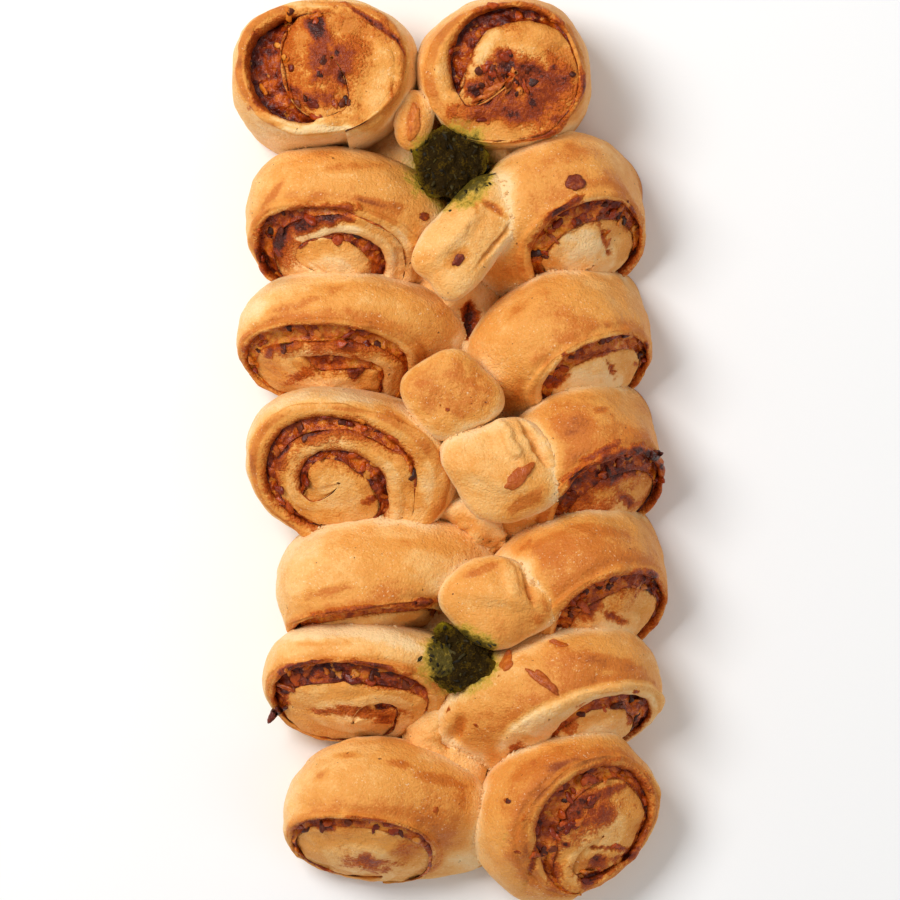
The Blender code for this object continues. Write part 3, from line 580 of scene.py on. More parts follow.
def dough_material():
    """Crust from cream to dark brown by how much it baked, with sauce and char, and green near the pesto.
    Some of the browning and staining is painted shade, and the pale glints are painted highlight.
    """
    material, shader, paint = material_of(
        "baked dough", Specular_IOR_Level=0.28, Subsurface_Weight=0.08, Subsurface_Scale=0.003,
        Subsurface_Radius=(1.0, 0.45, 0.2))
    bake, cut, stain_and_shade, oil = (paint.read(key) for key in ("bake", "cut", "stain_and_shade", "oil"))
    broad, middle, fine = paint.speckle(24, 2), paint.speckle(6, 4, 0.6), paint.speckle(1.1, 2)
    streak = paint.speckle(9, 3, 0.6, (0.35, 1.0, 0.6))
    level = bake + (broad - 0.5) * 0.5 + (middle - 0.5) * 0.4 + (streak - 0.5) * 0.35 + (fine - 0.5) * 0.3
    level = level - paint.speckle(0.9, 1).between(0.62, 0.72) * 0.16
    crust = level.shades((248, 208, 150), (-0.1, 0.25, 243, 184, 108), (0.2, 0.5, 230, 155, 70),
                         (0.5, 0.8, 204, 114, 36), (0.8, 1.15, 146, 66, 18))
    blot = paint.speckle(11, 3, 0.6).between(0.6, 0.72) * paint.speckle(3.6, 3).between(0.42, 0.62)
    crust = (blot * bake.between(0.3, 0.8) * 0.55).mix(crust, srgb(176, 84, 24))
    dots = paint.speckle(2.1, 1).between(0.735, 0.76) * paint.speckle(15, 1).between(0.5, 0.6)
    crust = (dots * 0.8).mix(crust, srgb(96, 40, 12))
    # Painted highlight: tiny near-white glints of light scattered over the crust.
    painted_glints = paint.speckle(1.0, 1).between(0.66, 0.74) * paint.speckle(13, 2).between(0.42, 0.6)
    crust = (painted_glints * 0.5).mix(crust, srgb(255, 232, 190))
    toast_and_shade = stain_and_shade + ((middle - 0.5) * 0.7 + (fine - 0.5) * 0.8) * stain_and_shade.between(0.0, 0.4)
    sauce = toast_and_shade.shades((232, 152, 58), (0.15, 0.5, 204, 98, 16), (0.5, 0.9, 146, 54, 6),
                         (0.9, 1.3, 66, 18, 6))
    colour = toast_and_shade.between(0.0, 0.6).mix(crust, sauce)
    green = oil + (paint.speckle(2.2, 4, 0.65) - 0.5) * 1.0
    leaf = green.shades((196, 160, 50), (0.6, 1.0, 84, 70, 8))
    colour = green.between(0.3, 0.8).mix(colour, leaf)
    colour.into(shader, "Base Color")
    pore = paint.speckle(0.7, 2, 0.6)
    rough = 0.55 + (fine - 0.5) * 0.4 + (pore - 0.5) * 0.3 - toast_and_shade.between(0.3, 0.9) * 0.25 + cut * 0.06
    rough.into(shader, "Roughness")
    height = fine * 0.5 + pore * 0.4 + paint.speckle(2.4, 3) * 0.8 + middle * toast_and_shade.between(0.2, 0.8) * 1.5
    height.bump(shader, 0.001)
    return material


def oiled(points):
    """How near a point is to the pesto, 1 at its brim and 0 a few millimetres away."""
    level = np.zeros(points.shape[:-1])
    for x, y, wide, long in POOLS:
        flat = (points[..., :2] - SHIFT[:2] - (x, y)) / (wide, long)
        level = np.maximum(level, 2.1 - 1.5 * np.linalg.norm(flat, axis=-1))
    return np.clip(level + noise(points, 5, 41) * 0.25, 0, 1)


def relief(points, seed, across=None):
    """Lumps of baked dough: broad hollows, soft lumps, long wrinkles and small blisters."""
    blisters = np.maximum(0, noise(points, 2.8, seed + 3) - 0.3) * 0.35
    total = noise(points, 21, seed) * 1.3 + noise(points, 9, seed + 1) * 0.5
    total += noise(points, 4, seed + 2) * 0.16
    if across is not None:
        long_way = points - (points @ across)[..., None] * across * 0.68
        creases = np.maximum(0, noise(long_way, 9, seed + 5) - 0.45) * 1.6
        total += noise(long_way, 5.5, seed + 4) * 0.35 - creases
    return total + blisters


DOUGH = dough_material()
WALL_ROWS, BROW_ROWS, CRUST_ROWS = 4, 9, 42
BROW = np.linspace(0, 1, BROW_ROWS)
DOWN_CRUST = np.linspace(0, 1, CRUST_ROWS) ** 1.15
# What bits can lie on: points, how many bits of filling, leaf and torn crumb lie there, and the way out.
GROUNDS = []
for number, roll in enumerate(SLICES):
    strip = winding(roll)
    across, up, ahead, back = axes_of(roll)
    first = 1 - smooth((strip.turned - TAU + SEAM) / SEAM)

    # Across the strip: up the wall inside it, over the brow of the cut, and down the crust outside.
    inner_edge, outer_edge = on_cut(roll, strip.inner, strip.angle), on_cut(roll, strip.outer, strip.angle)
    shoulder = down_wall(roll, strip.inner, strip.angle, strip.depth_in)
    brim = down_wall(roll, strip.outer, strip.angle, strip.depth_out)
    crown = on_cut(roll, (strip.inner + strip.outer) / 2, strip.angle)
    low = ahead * 0.8 * strip.ease[:, None]
    inner_edge, outer_edge, crown, shoulder, brim = (
        line - low for line in (inner_edge, outer_edge, crown, shoulder, brim))
    share = np.linspace(0, 1, WALL_ROWS)[None, :, None]
    inner_foot = on_foot(roll, strip.inner, strip.angle)
    outer_foot = on_foot(roll, strip.outer, strip.angle)
    wall = inner_foot[:, None] * (1 - share) + shoulder[:, None] * share
    brow = np.concatenate((arc(shoulder, inner_edge, crown, BROW)[:, 1:],
                           arc(crown, outer_edge, brim, BROW)[:, 1:]), 1)
    one = np.ones_like(strip.outer)
    start, end = down_wall(roll, one, strip.angle, RIM), on_foot(roll, one, strip.angle)
    flat = oval(roll, strip.angle, 2, 2)
    height = (start[:, 2] / roll.top)[:, None]
    outwards = across * flat[:, :1] + up * flat[:, 1:]
    bulge = back * roll.puff * 0.93 * np.maximum(height, 0) ** 1.4 + outwards * roll.swell
    bulge -= UP * (roll.drop * height)
    bulge += across * roll.side * roll.reach * np.maximum(0, roll.side * flat[:, :1])
    knee = (start + end) / 2 * (1 - first[:, None]) + (start + bulge) * first[:, None]
    part = DOWN_CRUST[None, :, None]
    crust = arc(start, knee, end, DOWN_CRUST)
    crust -= (on_cut(roll, one, strip.angle) - outer_edge)[:, None] * (1 - part)
    crust -= (on_foot(roll, one, strip.angle) - outer_foot)[:, None] * part
    grid = np.concatenate((wall, brow, crust[:, 1:]), 1) + SHIFT

    # How far over the brow and how far down the crust each row is, and where the sauce has run.
    over = np.concatenate((np.zeros(WALL_ROWS), np.linspace(0, 1, 2 * BROW_ROWS - 1)[1:],
                           np.ones(CRUST_ROWS - 1)))
    behind = np.concatenate((np.zeros(WALL_ROWS + 2 * BROW_ROWS - 2), DOWN_CRUST[1:]))
    thick = ((strip.outer - strip.inner) * strip.size)[:, None]
    normal = normals_of(grid)
    facing = smooth((normal[..., 2] + 0.15) / 0.9)
    marks = marks_on(roll.name, grid, facing)
    hidden = smooth((strip.turned - TAU + 0.1) / 0.2)[:, None]
    cut = np.clip(1 - behind[None] * 30, 0, 1) * (1 - hidden) + hidden
    towards = (0.35 + 0.65 * np.clip(np.cos(strip.angle - math.radians(roll.trench_at)), 0, 1))[:, None]
    stain_in = np.clip(1 - over[None] * thick / roll.run, 0, 1) * (0.1 + 0.9 * strip.open_in[:, None])
    stain_in = stain_in * (1 - strip.closing[:, None])
    stain_out = np.clip(1.25 - (1 - over[None]) * thick / (roll.slope * towards), 0, 1) * hidden
    stain_out = stain_out * (0.1 + 0.9 * strip.open_out[:, None]) * (1 - 0.6 * strip.closing[:, None])
    stain_and_shade = np.maximum(stain_in, stain_out) * 0.85 * (0.8 + noise(grid, 7, 3) * 0.35)
    stain_and_shade += (noise(grid, 9, 5) * 0.4 + noise(grid, 3.5, 6) * 0.2 + 0.3) * roll.face
    stain_and_shade = stain_and_shade * cut + marks.sauce * cut + marks.char - marks.pale * 0.8 * cut + marks.brown * cut * 0.7

    # The relief, which fades at the floor and on the walls of the grooves, so that they stay as wide.
    lie = np.clip((grid[..., 2] - 1.5) / 6, 0, 1)
    upward = np.clip(normal @ ahead, 0.15, 1)
    rough = relief(grid, 11 + number * 20, across) * (1 - cut + 0.6 * cut * upward)
    rough += cut * (noise(grid, 4, 17) * 0.35 + noise(grid, 1.9, 19) * 0.15)
    rough += cut * np.clip(stain_and_shade, 0, 1) * (noise(grid, 3, 21) * 0.7 + noise(grid, 1.6, 22) * 0.35)
    lip = np.exp(-((behind * 40) ** 2)) * (over > 0.5)
    rough += lip * (noise(grid, 11, 23) * 1.3 + noise(grid, 4, 24) * 0.4 - 0.4) - marks.dent
    low_eye = 1 - np.exp(-(over[None] * thick / 2.5)) * strip.closing[:, None]
    grid = grid + normal * (rough * lie * low_eye)[..., None]

    gap, shielded = shielding(f"roll_{roll.name}", grid, 5)
    bake = 0.26 + 0.1 * facing + roll.tone + noise(grid, 34, 29) * 0.15 - 0.5 * shielded
    # Darker towards the right of the loaf: painted shade on the side away from the lamp.
    bake += grid[..., 0] / 700
    bake += 0.3 * np.exp(-np.maximum(grid[..., 2], 0) / 3) * (1 - facing)
    bake += (np.exp(-((behind * 2.4) ** 2)) * 0.2 + np.exp(-((behind * 14) ** 2)) * 0.22)[None] * facing
    face_bake = 0.02 + 0.35 * roll.face + noise(grid, 11, 31) * 0.16 + 0.1 * facing - 0.2 * shielded
    face_bake = face_bake + roll.rim * (1 - hidden)
    bake = bake * (1 - cut) + (face_bake + lip * 0.25) * cut + marks.brown - marks.pale
    oil = np.clip(oiled(grid) + marks.oil, 0, 1)
    values = dict(bake=bake, cut=cut, stain_and_shade=np.clip(stain_and_shade, 0, 1.3), oil=oil)
    piece = mesh_of(f"dough_{roll.name}", grid, values)
    piece.data.materials.append(DOUGH)
    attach(piece, "root")
    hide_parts(f"roll_{roll.name}")

    # Bits of filling lie on the brow, and torn crumb on the crust where the slices were pulled apart.
    rows = slice(WALL_ROWS, WALL_ROWS + 2 * BROW_ROWS - 2)
    torn = np.exp(-((gap / 0.9) ** 2)) * smooth(facing * 3 - 0.3)
    none = 0 * oil
    fill = (np.clip(stain_and_shade - 0.45, 0, 1) * 0.7 + marks.heap) * cut
    GROUNDS.append((grid[:, rows], fill[:, rows], none[:, rows], none[:, rows], ahead))
    GROUNDS.append([part[:, rows.stop :] for part in (grid, none, oil, torn)] + [UP])

# The filling: a sheet of cooked tomato, onion and cheese between the turns of each strip. It has sunk below
# the cut and baked into a glossy, lumpy layer, orange where the cheese shows, and darker along the walls of
# the groove with painted shade.


def filling_material():
    material, shader, paint = material_of(
        "tomato filling", Specular_IOR_Level=0.3, Coat_Weight=0.08, Coat_Roughness=0.15)
    dark, deep = paint.read("dark"), paint.read("deep")
    broad, middle, fine = paint.speckle(8, 3), paint.speckle(2.8, 4, 0.6), paint.speckle(0.9, 2)
    chunk = paint.made("ShaderNodeSeparateColor", None, 0, Color=paint.lumps(3.2))
    # deep darkens the filling along the groove walls: painted shade.
    level = dark * 0.7 + deep * 0.35 + (broad - 0.5) * 1.2 + (middle - 0.5) * 1.0 + (chunk - 0.5) * 0.35
    colour = level.shades((232, 146, 44), (-0.05, 0.3, 206, 98, 16), (0.28, 0.6, 150, 54, 6),
                          (0.6, 0.95, 84, 20, 6), (1.0, 1.4, 40, 12, 6))
    cheese = paint.speckle(4.5, 3).between(0.61, 0.68)
    colour = (cheese * 0.7).mix(colour, srgb(232, 142, 46))
    colour.into(shader, "Base Color")
    (0.2 + (middle - 0.3) * 0.4).into(shader, "Roughness")
    height = middle + fine * 0.4 - paint.lumps(3.2, 0) * 0.5
    height.bump(shader, 0.0014)
    return material


FILLING = filling_material()
TOP_ROWS = 21
for number, roll in enumerate(SLICES):
    strip = winding(roll)
    count = len(strip.angle) - strip.turn
    angle, outer, inner = strip.angle[:count], strip.inner[:count], strip.outer[strip.turn :]
    lap = 0.4 / strip.size[:count]  # how far the sheet reaches into the dough on both sides, as a share
    outer, inner = outer + lap, np.minimum(inner, outer) - lap
    room = strip.open_in[:count]
    # Where the groove has closed, the sheet lies deeper still and doesn't show.
    shut = 0.9 * smooth(0.6 - strip.gap[:count])
    top_out = down_wall(roll, outer, angle, strip.depth_in[:count] - 0.15 - 0.85 * room + shut)
    top_in = down_wall(roll, inner, angle, strip.depth_out[strip.turn :] - 0.1 - 0.7 * room + shut)
    foot_out, foot_in = on_foot(roll, outer, angle) + (0, 0, 0.8), on_foot(roll, inner, angle) + (0, 0, 0.8)
    share = np.linspace(0, 1, TOP_ROWS)[None, :, None]
    top = top_out[:, None] * (1 - share) + top_in[:, None] * share + SHIFT
    ahead = axes_of(roll)[2]
    width = np.linalg.norm(top_in - top_out, axis=-1)[:, None]
    body = np.clip(width / 3, 0.1, 1) * np.sin(share[..., 0] * math.pi) ** 0.5
    lumps = noise(top, 6, 51 + number) * 1.5 + noise(top, 3, 53) * 1.4 + noise(top, 1.7, 57) * 0.9
    sag = np.clip(width / 8, 0, 1.6)
    top = top + ahead * (body * (lumps - sag * 1.1))[..., None]
    grid = np.concatenate(((foot_out + SHIFT)[:, None], top, (foot_in + SHIFT)[:, None]), 1)
    side = np.concatenate(([0], np.linspace(0, 1, TOP_ROWS), [1]))[None] * np.ones((count, 1))
    late = (strip.turned[:count] / max(strip.turned[count - 1], 1))[:, None]
    dark = roll.dark + (late - 0.5) * 0.35 + noise(grid, 14, 59) * 0.35
    # deep is painted shade: darkest against the outer wall under the lip, and weaker against the inner wall
    # where the groove is wide.
    deep = np.exp(-((side * 3) ** 2))
    deep = deep + 0.4 * np.exp(-(((1 - side) * 5) ** 2)) * np.clip(width / 4, 0, 1)
    piece = mesh_of(f"sauce_{roll.name}", grid, dict(dark=dark, deep=deep))
    piece.data.materials.append(FILLING)
    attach(piece, "root")
    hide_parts(f"filling_{roll.name}")
    wide = np.clip(width / 4 - 0.3, 0, 1) * np.ones((1, TOP_ROWS)) * roll.chunky
    GROUNDS.append((top, wide, 0 * wide, 0 * wide, ahead))

# The knobs: pieces of the log's back that rose between the slices, smooth and golden on top and pale at the
# sides. The spine is the rest of that back, left uncut and seen only in the clefts. Both are the same dough.
KNOBS = [
    dict(name="knob_1", x=-14.5, y=138, heading=78, long=27, wide=16, low=32, top=50, crease=0, ridge=0.5,
         corners=-0.05),
    dict(name="knob_2", x=8.5, y=90, heading=50, long=58, wide=33, low=30, top=57, crease=0.25, ridge=2.5,
         corners=-0.1, tone=-0.25),
    dict(name="knob_3", x=0.5, y=22.8, heading=-12, long=40, wide=36.5, low=31, top=59, crease=0, ridge=0),
    dict(name="knob_4", x=23.5, y=-9, heading=-20, long=52, wide=44, low=30, top=60, crease=-0.2, ridge=3,
         tone=-0.15),
    dict(name="knob_5", x=20.5, y=-64, heading=-8, long=50, wide=37, low=30, top=58, crease=0.15, ridge=3),
]
# What the oven left on the spine and the knobs, given as for the slices. On the spine, the sauce mark at
# 472, 321 and the char mark at 454, 730 are painted shade, darkening two deep clefts.
MARKS.update(
    spine=[("pale", 498, 158, 46, 30, -30, 0.2, -14.0), ("sauce", 472, 321, 34, 20, 75, 1.3, 5.0),
            ("pale", 466, 346, 30, 20, 0, 0.5, -1.0), ("char", 454, 730, 34, 20, 65, 0.7, 7.0),
            ("brown", 485, 535, 60, 12, -45, 0.3, 2.0), ("brown", 430, 722, 60, 44, 50, 0.05, -4.0),
            ("pale", 478, 520, 70, 34, -40, 0.1, -9.0), ("pale", 456, 296, 44, 26, 60, 0.1, -6.0),
            ("brown", 450, 290, 30, 10, 60, 0.2, 1.0)],
    knob_1=[("brown", 415, 120, 36, 13, 84, 0.35, 0.6)],
    knob_2=[("brown", 492, 210, 44, 7, -36, 0.6, 0.7), ("brown", 474, 206, 26, 6, -60, 0.35, 0.5),
            ("brown", 458, 262, 26, 14, 40, 0.35), ("brown", 498, 246, 60, 5, 50, 0.4, 1.4),
            ("pale", 455, 235, 60, 26, 45, 0.1, -0.6)],
    knob_3=[("brown", 452, 395, 80, 60, -12, 0.3), ("char", 448, 411, 4, 4, 0, 0.9),
            ("char", 441, 407, 3, 3, 0, 0.7)],
    knob_4=[("brown", 528, 500, 50, 14, 30, 0.4), ("brown", 532, 440, 50, 7, -62, 0.3, 3.4),
            ("pale", 508, 440, 50, 12, -62, 0.1, -2.6), ("brown", 552, 455, 34, 11, -60, 0.35, -2.2)],
    knob_5=[("brown", 527, 580, 44, 6, -75, 0.3, 2.6), ("pale", 510, 575, 40, 12, -70, 0.1, -1.8),
            ("brown", 545, 600, 40, 12, -70, 0.4, -1.0), ("brown", 540, 618, 12, 12, 0, 0.3, -0.5),
            ("brown", 480, 570, 44, 8, 25, 0.25)],
)


def ball(segments, rings):
    """Points of a ball, rings from its foot to its top by segments round it."""
    tilt = np.linspace(-math.pi / 2 + 0.03, math.pi / 2 - 0.03, rings)[:, None]
    turn = np.linspace(0, TAU, segments, endpoint=False)[None]
    return np.stack((np.cos(tilt) * np.cos(turn), np.cos(tilt) * np.sin(turn), np.sin(tilt) + 0 * turn), -1)


def blob(place, brim, ragged, teeth, crown, corners=0.0, segments=130, rings=76):
    """A soft lump, widest at its brim, with a fold along it, a ragged outline and more or less corners."""
    x, y, z = np.moveaxis(ball(segments, rings), -1, 0)
    turn = np.arctan2(y, x)
    spread = 1 + ragged * np.sin(teeth * turn + place["x"]) + corners * (np.cos(4 * turn) - 0.2)
    level = place["low"] + (place["top"] - place["low"]) * brim
    fold = np.exp(-(((y - place["crease"]) / 0.22) ** 2)) * (1 - x * x)
    over = (place["top"] - level) * np.maximum(z, 0) ** crown + place["ridge"] * (fold - 0.5) * z
    under = (level - place["low"]) * z
    spread = np.where(z > 0, spread, spread * (1 + 0.25 * z))
    flat = np.stack((x * place["long"] / 2 * spread, y * place["wide"] / 2 * spread), -1)
    heading = math.radians(place["heading"])
    turn = np.array(((math.cos(heading), math.sin(heading)), (-math.sin(heading), math.cos(heading))))
    flat = flat @ turn + (place["x"], place["y"])
    return np.concatenate((flat, (level + np.where(z > 0, over, under))[..., None]), -1) + SHIFT


KNOB_UNDER = 30  # rings of a knob that nothing can lie on
for number, place in enumerate(KNOBS):
    grid = blob(place, 0.55, 0.03, 3, 0.75, place.get("corners", 0.06))
    normal = normals_of(grid)
    facing = smooth(normal[..., 2])
    marks = marks_on(place["name"], grid, facing)
    grid = grid + normal * (relief(grid, 61 + number * 9) * 1.2 - marks.dent)[..., None]
    gap, shielded = shielding(place["name"], grid, 4.5)
    bake = 0.1 + place.get("tone", 0) + 0.45 * facing - 0.4 * shielded
    bake = bake + noise(grid, 16, 67) * 0.18 + marks.brown - marks.pale
    values = dict(bake=bake, cut=bake * 0, stain_and_shade=np.clip(marks.char, 0, 1.3), oil=oiled(grid))
    piece = mesh_of(f"dough_{place['name']}", grid, values)
    piece.data.materials.append(DOUGH)
    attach(piece, "root")
    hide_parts(place["name"])
    torn = np.exp(-((gap / 0.9) ** 2)) * smooth(facing * 3 - 0.3)
    above = slice(KNOB_UNDER, None)
    GROUNDS.append((grid[above], 0 * bake[above], oiled(grid)[above], torn[above], UP))

SPINE_LINE = np.array([(-14, 148), (-2, 105), (4, 50), (10, 0), (13, -50), (2, -100), (1, -150), (1, -172)])
along = np.linspace(148, -172, 260)
middle = np.interp(-along, -SPINE_LINE[:, 1], SPINE_LINE[:, 0])
kernel = np.hanning(31)
middle = np.convolve(np.pad(middle, 15, "edge"), kernel / kernel.sum(), "valid")
# It tapers at both ends, and is wider beside the first pesto, where dough fills the cleft.
size = 0.7 + 0.3 * smooth(np.minimum(148 - along, along + 172) / 30)
half = (22 * size + 13 * np.exp(-(((along - 126) / 10) ** 2)))[:, None]
turn = np.linspace(0, math.pi, 40)
grid = np.stack((middle[:, None] + np.cos(turn) * half, along[:, None] + 0 * turn,
                 np.sin(turn) ** 0.7 * 29 * size[:, None]), -1) + SHIFT
normal = normals_of(grid)
facing = smooth((normal[..., 2] + 0.15) / 0.9)
marks = marks_on("spine", grid, facing)
folds = relief(grid, 71) * 1.3 - np.maximum(0, noise(grid * (0.5, 1, 1), 7, 75)) * 2.5 - marks.dent
grid = grid + normal * (folds * np.clip(grid[..., 2] / 6, 0, 1))[..., None]
bake = 0.22 + noise(grid, 12, 73) * 0.2 + marks.brown - marks.pale
stain_and_shade = np.clip(marks.sauce + marks.char, 0, 1.3)
piece = mesh_of("dough_spine", grid, dict(bake=bake, cut=bake * 0, stain_and_shade=stain_and_shade, oil=oiled(grid)))
piece.data.materials.append(DOUGH)
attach(piece, "root")
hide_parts("spine")

# The pesto: two spoonfuls of basil paste in the dips along the spine, baked dark and matted, oily at the
# brim. A heap of chopped leaf with a rough top.
POOL_SIZES = [
    dict(name="pesto_1", x=1.0, y=119.5, long=31, wide=34, low=32, top=47),
    dict(name="pesto_2", x=4, y=-88, long=31, wide=28, low=32, top=46),
]


def pesto_material():
    """Nearly black green leaf, lighter and oilier towards the brim."""
    material, shader, paint = material_of("baked pesto", Specular_IOR_Level=0.08)
    brim = paint.read("brim")
    middle, fine = paint.speckle(3.2, 4, 0.65), paint.speckle(0.8, 3, 0.6)
    level = brim + (middle - 0.5) * 1.3 + (fine - 0.5) * 0.9
    colour = level.shades((44, 30, 4), (0.0, 0.3, 82, 60, 5), (0.3, 0.65, 108, 90, 10),
                          (0.7, 1.15, 160, 138, 24))
    colour.into(shader, "Base Color")
    (0.45 + fine * 0.4).into(shader, "Roughness")
    (fine + middle * 0.6).bump(shader, 0.0012)
    return material


PESTO = pesto_material()
PESTO_UNDER = 60  # rings of the pesto that nothing can lie on
for place in POOL_SIZES:
    grid = blob(dict(place, heading=0, crease=0, ridge=1), 0.8, 0.14, 5, 0.6, 0, 200, 96)
    normal = normals_of(grid)
    matted = noise(grid, 9, 80) * 3.2 + noise(grid, 4, 81) * 1.1
    matted = matted + noise(grid, 2, 83) * 0.9 + noise(grid, 1.1, 87) * 0.5
    grid = grid + normal * matted[..., None]
    flat = (grid[..., :2] - SHIFT[:2] - (place["x"], place["y"])) / (place["long"] / 2, place["wide"] / 2)
    brim = smooth((np.linalg.norm(flat, axis=-1) - 0.72) / 0.4) * 0.65
    piece = mesh_of(f"leaf_{place['name']}", grid, dict(brim=brim))
    piece.data.materials.append(PESTO)
    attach(piece, "root")
    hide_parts(place["name"])
    none = 0 * brim[PESTO_UNDER:]
    GROUNDS.append((grid[PESTO_UNDER:], none, none + 1, none, UP))

# The toppings: single pieces of the filling that show from a step away, baked on where they fell: a strip
# of sausage on the fourth knob, strips of dried tomato and onion, and burnt ends that stick out at the rims.
# Each: what it lies on, its column, row, length, width and heading as in the marks, how thick it is in mm,
# and how burnt.
TOPPINGS = [
    ("knob_4", 519, 477, 40, 15, 38, 2.6, 0.45), ("right_2", 574, 186, 21, 14, 20, 3.0, 0.75),
    ("right_6", 507, 659, 19, 12, 75, 2.6, 0.35), ("right_6", 543, 678, 50, 10, -38, 3.2, 0.5),
    ("right_6", 560, 642, 18, 5, -15, 1.4, 0.45), ("knob_2", 458, 264, 15, 8, 50, 2.0, 0.8),
    ("knob_1", 415, 124, 34, 13, 84, 2.2, 0.25), ("left_6", 278, 711, 22, 10, 42, 5.0, 0.95),
    ("left_2", 426, 219, 11, 8, 0, 2.0, 0.7), ("right_3", 643, 350, 12, 8, 70, 3.0, 1.0),
    ("right_4", 655, 456, 15, 11, 20, 3.6, 1.0), ("right_4", 646, 466, 11, 9, 0, 3.0, 0.9),
    ("spine", 517, 752, 22, 14, 60, 3.0, 0.6), ("right_7", 508, 797, 6, 6, 0, 1.4, 0.9),
    ("left_5", 426, 601, 20, 9, 5, 3.0, 0.7), ("left_1", 262, 62, 16, 9, 40, 3.0, 0.9),
    ("right_5", 640, 578, 14, 10, 30, 3.0, 0.9), ("left_1", 315, 110, 11, 8, -30, 2.0, 0.8),
    ("right_1", 491, 97, 38, 8, 33, 2.2, 0.4), ("right_1", 511, 86, 28, 8, 70, 2.0, 0.3),
    ("left_3", 358, 368, 24, 15, 80, 4.0, 0.75),
]


def topping_material():
    """Orange brown where it dried, nearly black where it burnt."""
    material, shader, paint = material_of(
        "sausage and dried tomato", Specular_IOR_Level=0.3, Coat_Weight=0.05)
    level = paint.read("burnt") + (paint.speckle(2.2, 3) - 0.5) * 0.7
    colour = level.shades((220, 128, 46), (0.1, 0.5, 178, 82, 18), (0.5, 0.8, 112, 34, 10),
                          (0.8, 1.1, 48, 16, 8))
    colour.into(shader, "Base Color")
    (0.4 + (paint.speckle(1.2, 2) - 0.5) * 0.4).into(shader, "Roughness")
    paint.speckle(1.3, 3).bump(shader, 0.0008)
    return material


TOPPING = topping_material()
ABOVE = 90  # a height above everything, from which the dough is felt for, in mm
DOWN = Vector((0, 0, -1))
model, burnt, lain_on = bmesh.new(), [], {}
for number, (name, column, row, long, wide, heading, thick, dark) in enumerate(TOPPINGS):
    if name not in lain_on:
        below = bpy.data.objects[f"dough_{name}"].data
        corners = [corner.co for corner in below.vertices]
        lain_on[name] = BVHTree.FromPolygons(corners, [face.vertices for face in below.polygons])
    grid = ball(36, 17)
    turn = math.radians(heading)
    around = grid[..., :2] / np.linalg.norm(grid[..., :2], axis=-1, keepdims=True)
    uneven = 1 + 0.5 * noise(np.concatenate((around, around[..., :1] * 0), -1) + number * 9, 0.7, number)
    flat = grid[..., :2] * uneven[..., None] * (long * PIXEL / 2, wide * PIXEL / 2)
    flat = flat @ np.array(((math.cos(turn), math.sin(turn)), (-math.sin(turn), math.cos(turn))))
    flat = flat + seen_at(column, row)
    level = np.full(grid.shape[:2], np.nan)
    for at in np.ndindex(level.shape):
        hit = lain_on[name].ray_cast(Vector((*flat[at], ABOVE)) * MM, DOWN)[0]
        level[at] = hit[2] / MM if hit else np.nan
    middle = np.nanmedian(level)
    level = np.clip(np.nan_to_num(level, nan=middle), middle - thick, middle + thick)
    tall = np.sign(grid[..., 2]) * abs(grid[..., 2]) ** 0.6 * thick / 2
    place = np.concatenate((flat, (level + tall + thick * 0.05)[..., None]), -1)
    rough = noise(place, 2.2, 90 + number) * 0.45 + noise(place, 1.2, 91) * 0.35
    place += grid * (rough * min(1, thick / 2.5))[..., None]
    ring = [[model.verts.new(inside_box(point) * MM) for point in line] for line in place]
    for low, high in zip(ring, ring[1:]):
        for i in range(len(low)):
            model.faces.new((low[i - 1], low[i], high[i], high[i - 1]))
    model.faces.new(ring[0][::-1])
    model.faces.new(ring[-1])
    burnt += [dark] * place[..., 0].size
bmesh.ops.recalc_face_normals(model, faces=model.faces)
mesh = bpy.data.meshes.new("toppings")
model.to_mesh(mesh)
model.free()
put_numbers(mesh, "burnt", burnt)
mesh.shade_smooth()
mesh.materials.append(TOPPING)
piece = bpy.data.objects.new("toppings", mesh)
bpy.context.scene.collection.objects.link(piece)
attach(piece, "root")

# The bits: browned onion, dried tomato, melted cheese and burnt crumbs, stuck in the filling and where it
# ran out on the dough, chopped basil on the pesto, and crumb torn up where the slices were pulled apart.
# Each kind is scattered over what it lies on.
EVERY = tree_of(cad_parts)
LEAST_GREEN = 0.4  # how near to the pesto, as oiled() tells it, leaf begins to lie


def ground_of():
    """One mesh of all that bits can lie on, with how many of each sort lie there: none under a piece."""
    points, faces, crowd, leaf, torn = [], [], [], [], []
    for grid, fill, green, crumb, ahead in GROUNDS:
        stations, rows = grid.shape[:2]
        number = np.arange(stations * rows).reshape(stations, rows) + sum(map(len, points))
        corners = (number[:-1, :-1], number[:-1, 1:], number[1:, 1:], number[1:, :-1])
        faces.append(np.stack(corners, -1).reshape(-1, 4))
        flat = grid.reshape(-1, 3)
        some = (fill > 0.02) | (green > LEAST_GREEN) | (crumb > 0.05)
        wanted = np.flatnonzero(some)
        clear = np.zeros(len(flat))
        for i in wanted:
            hit = EVERY.ray_cast(Vector((flat[i] + ahead * 4) * MM), Vector(ahead), 30 * MM)[0]
            clear[i] = hit is None
        points.append(flat)
        crowd.append(np.ravel(fill) * clear)
        leaf.append(np.clip(np.ravel(green) - LEAST_GREEN, 0, 1) * clear)
        torn.append(np.ravel(crumb) * clear)
    mesh = bpy.data.meshes.new("ground")
    mesh.from_pydata((np.concatenate(points) * MM).tolist(), [], np.concatenate(faces).tolist())
    for key, value in dict(crowd=crowd, leaf=leaf, torn=torn).items():
        put_numbers(mesh, key, np.concatenate(value))
    ground = bpy.data.objects.new("ground", mesh)
    bpy.context.scene.collection.objects.link(ground)
    return ground


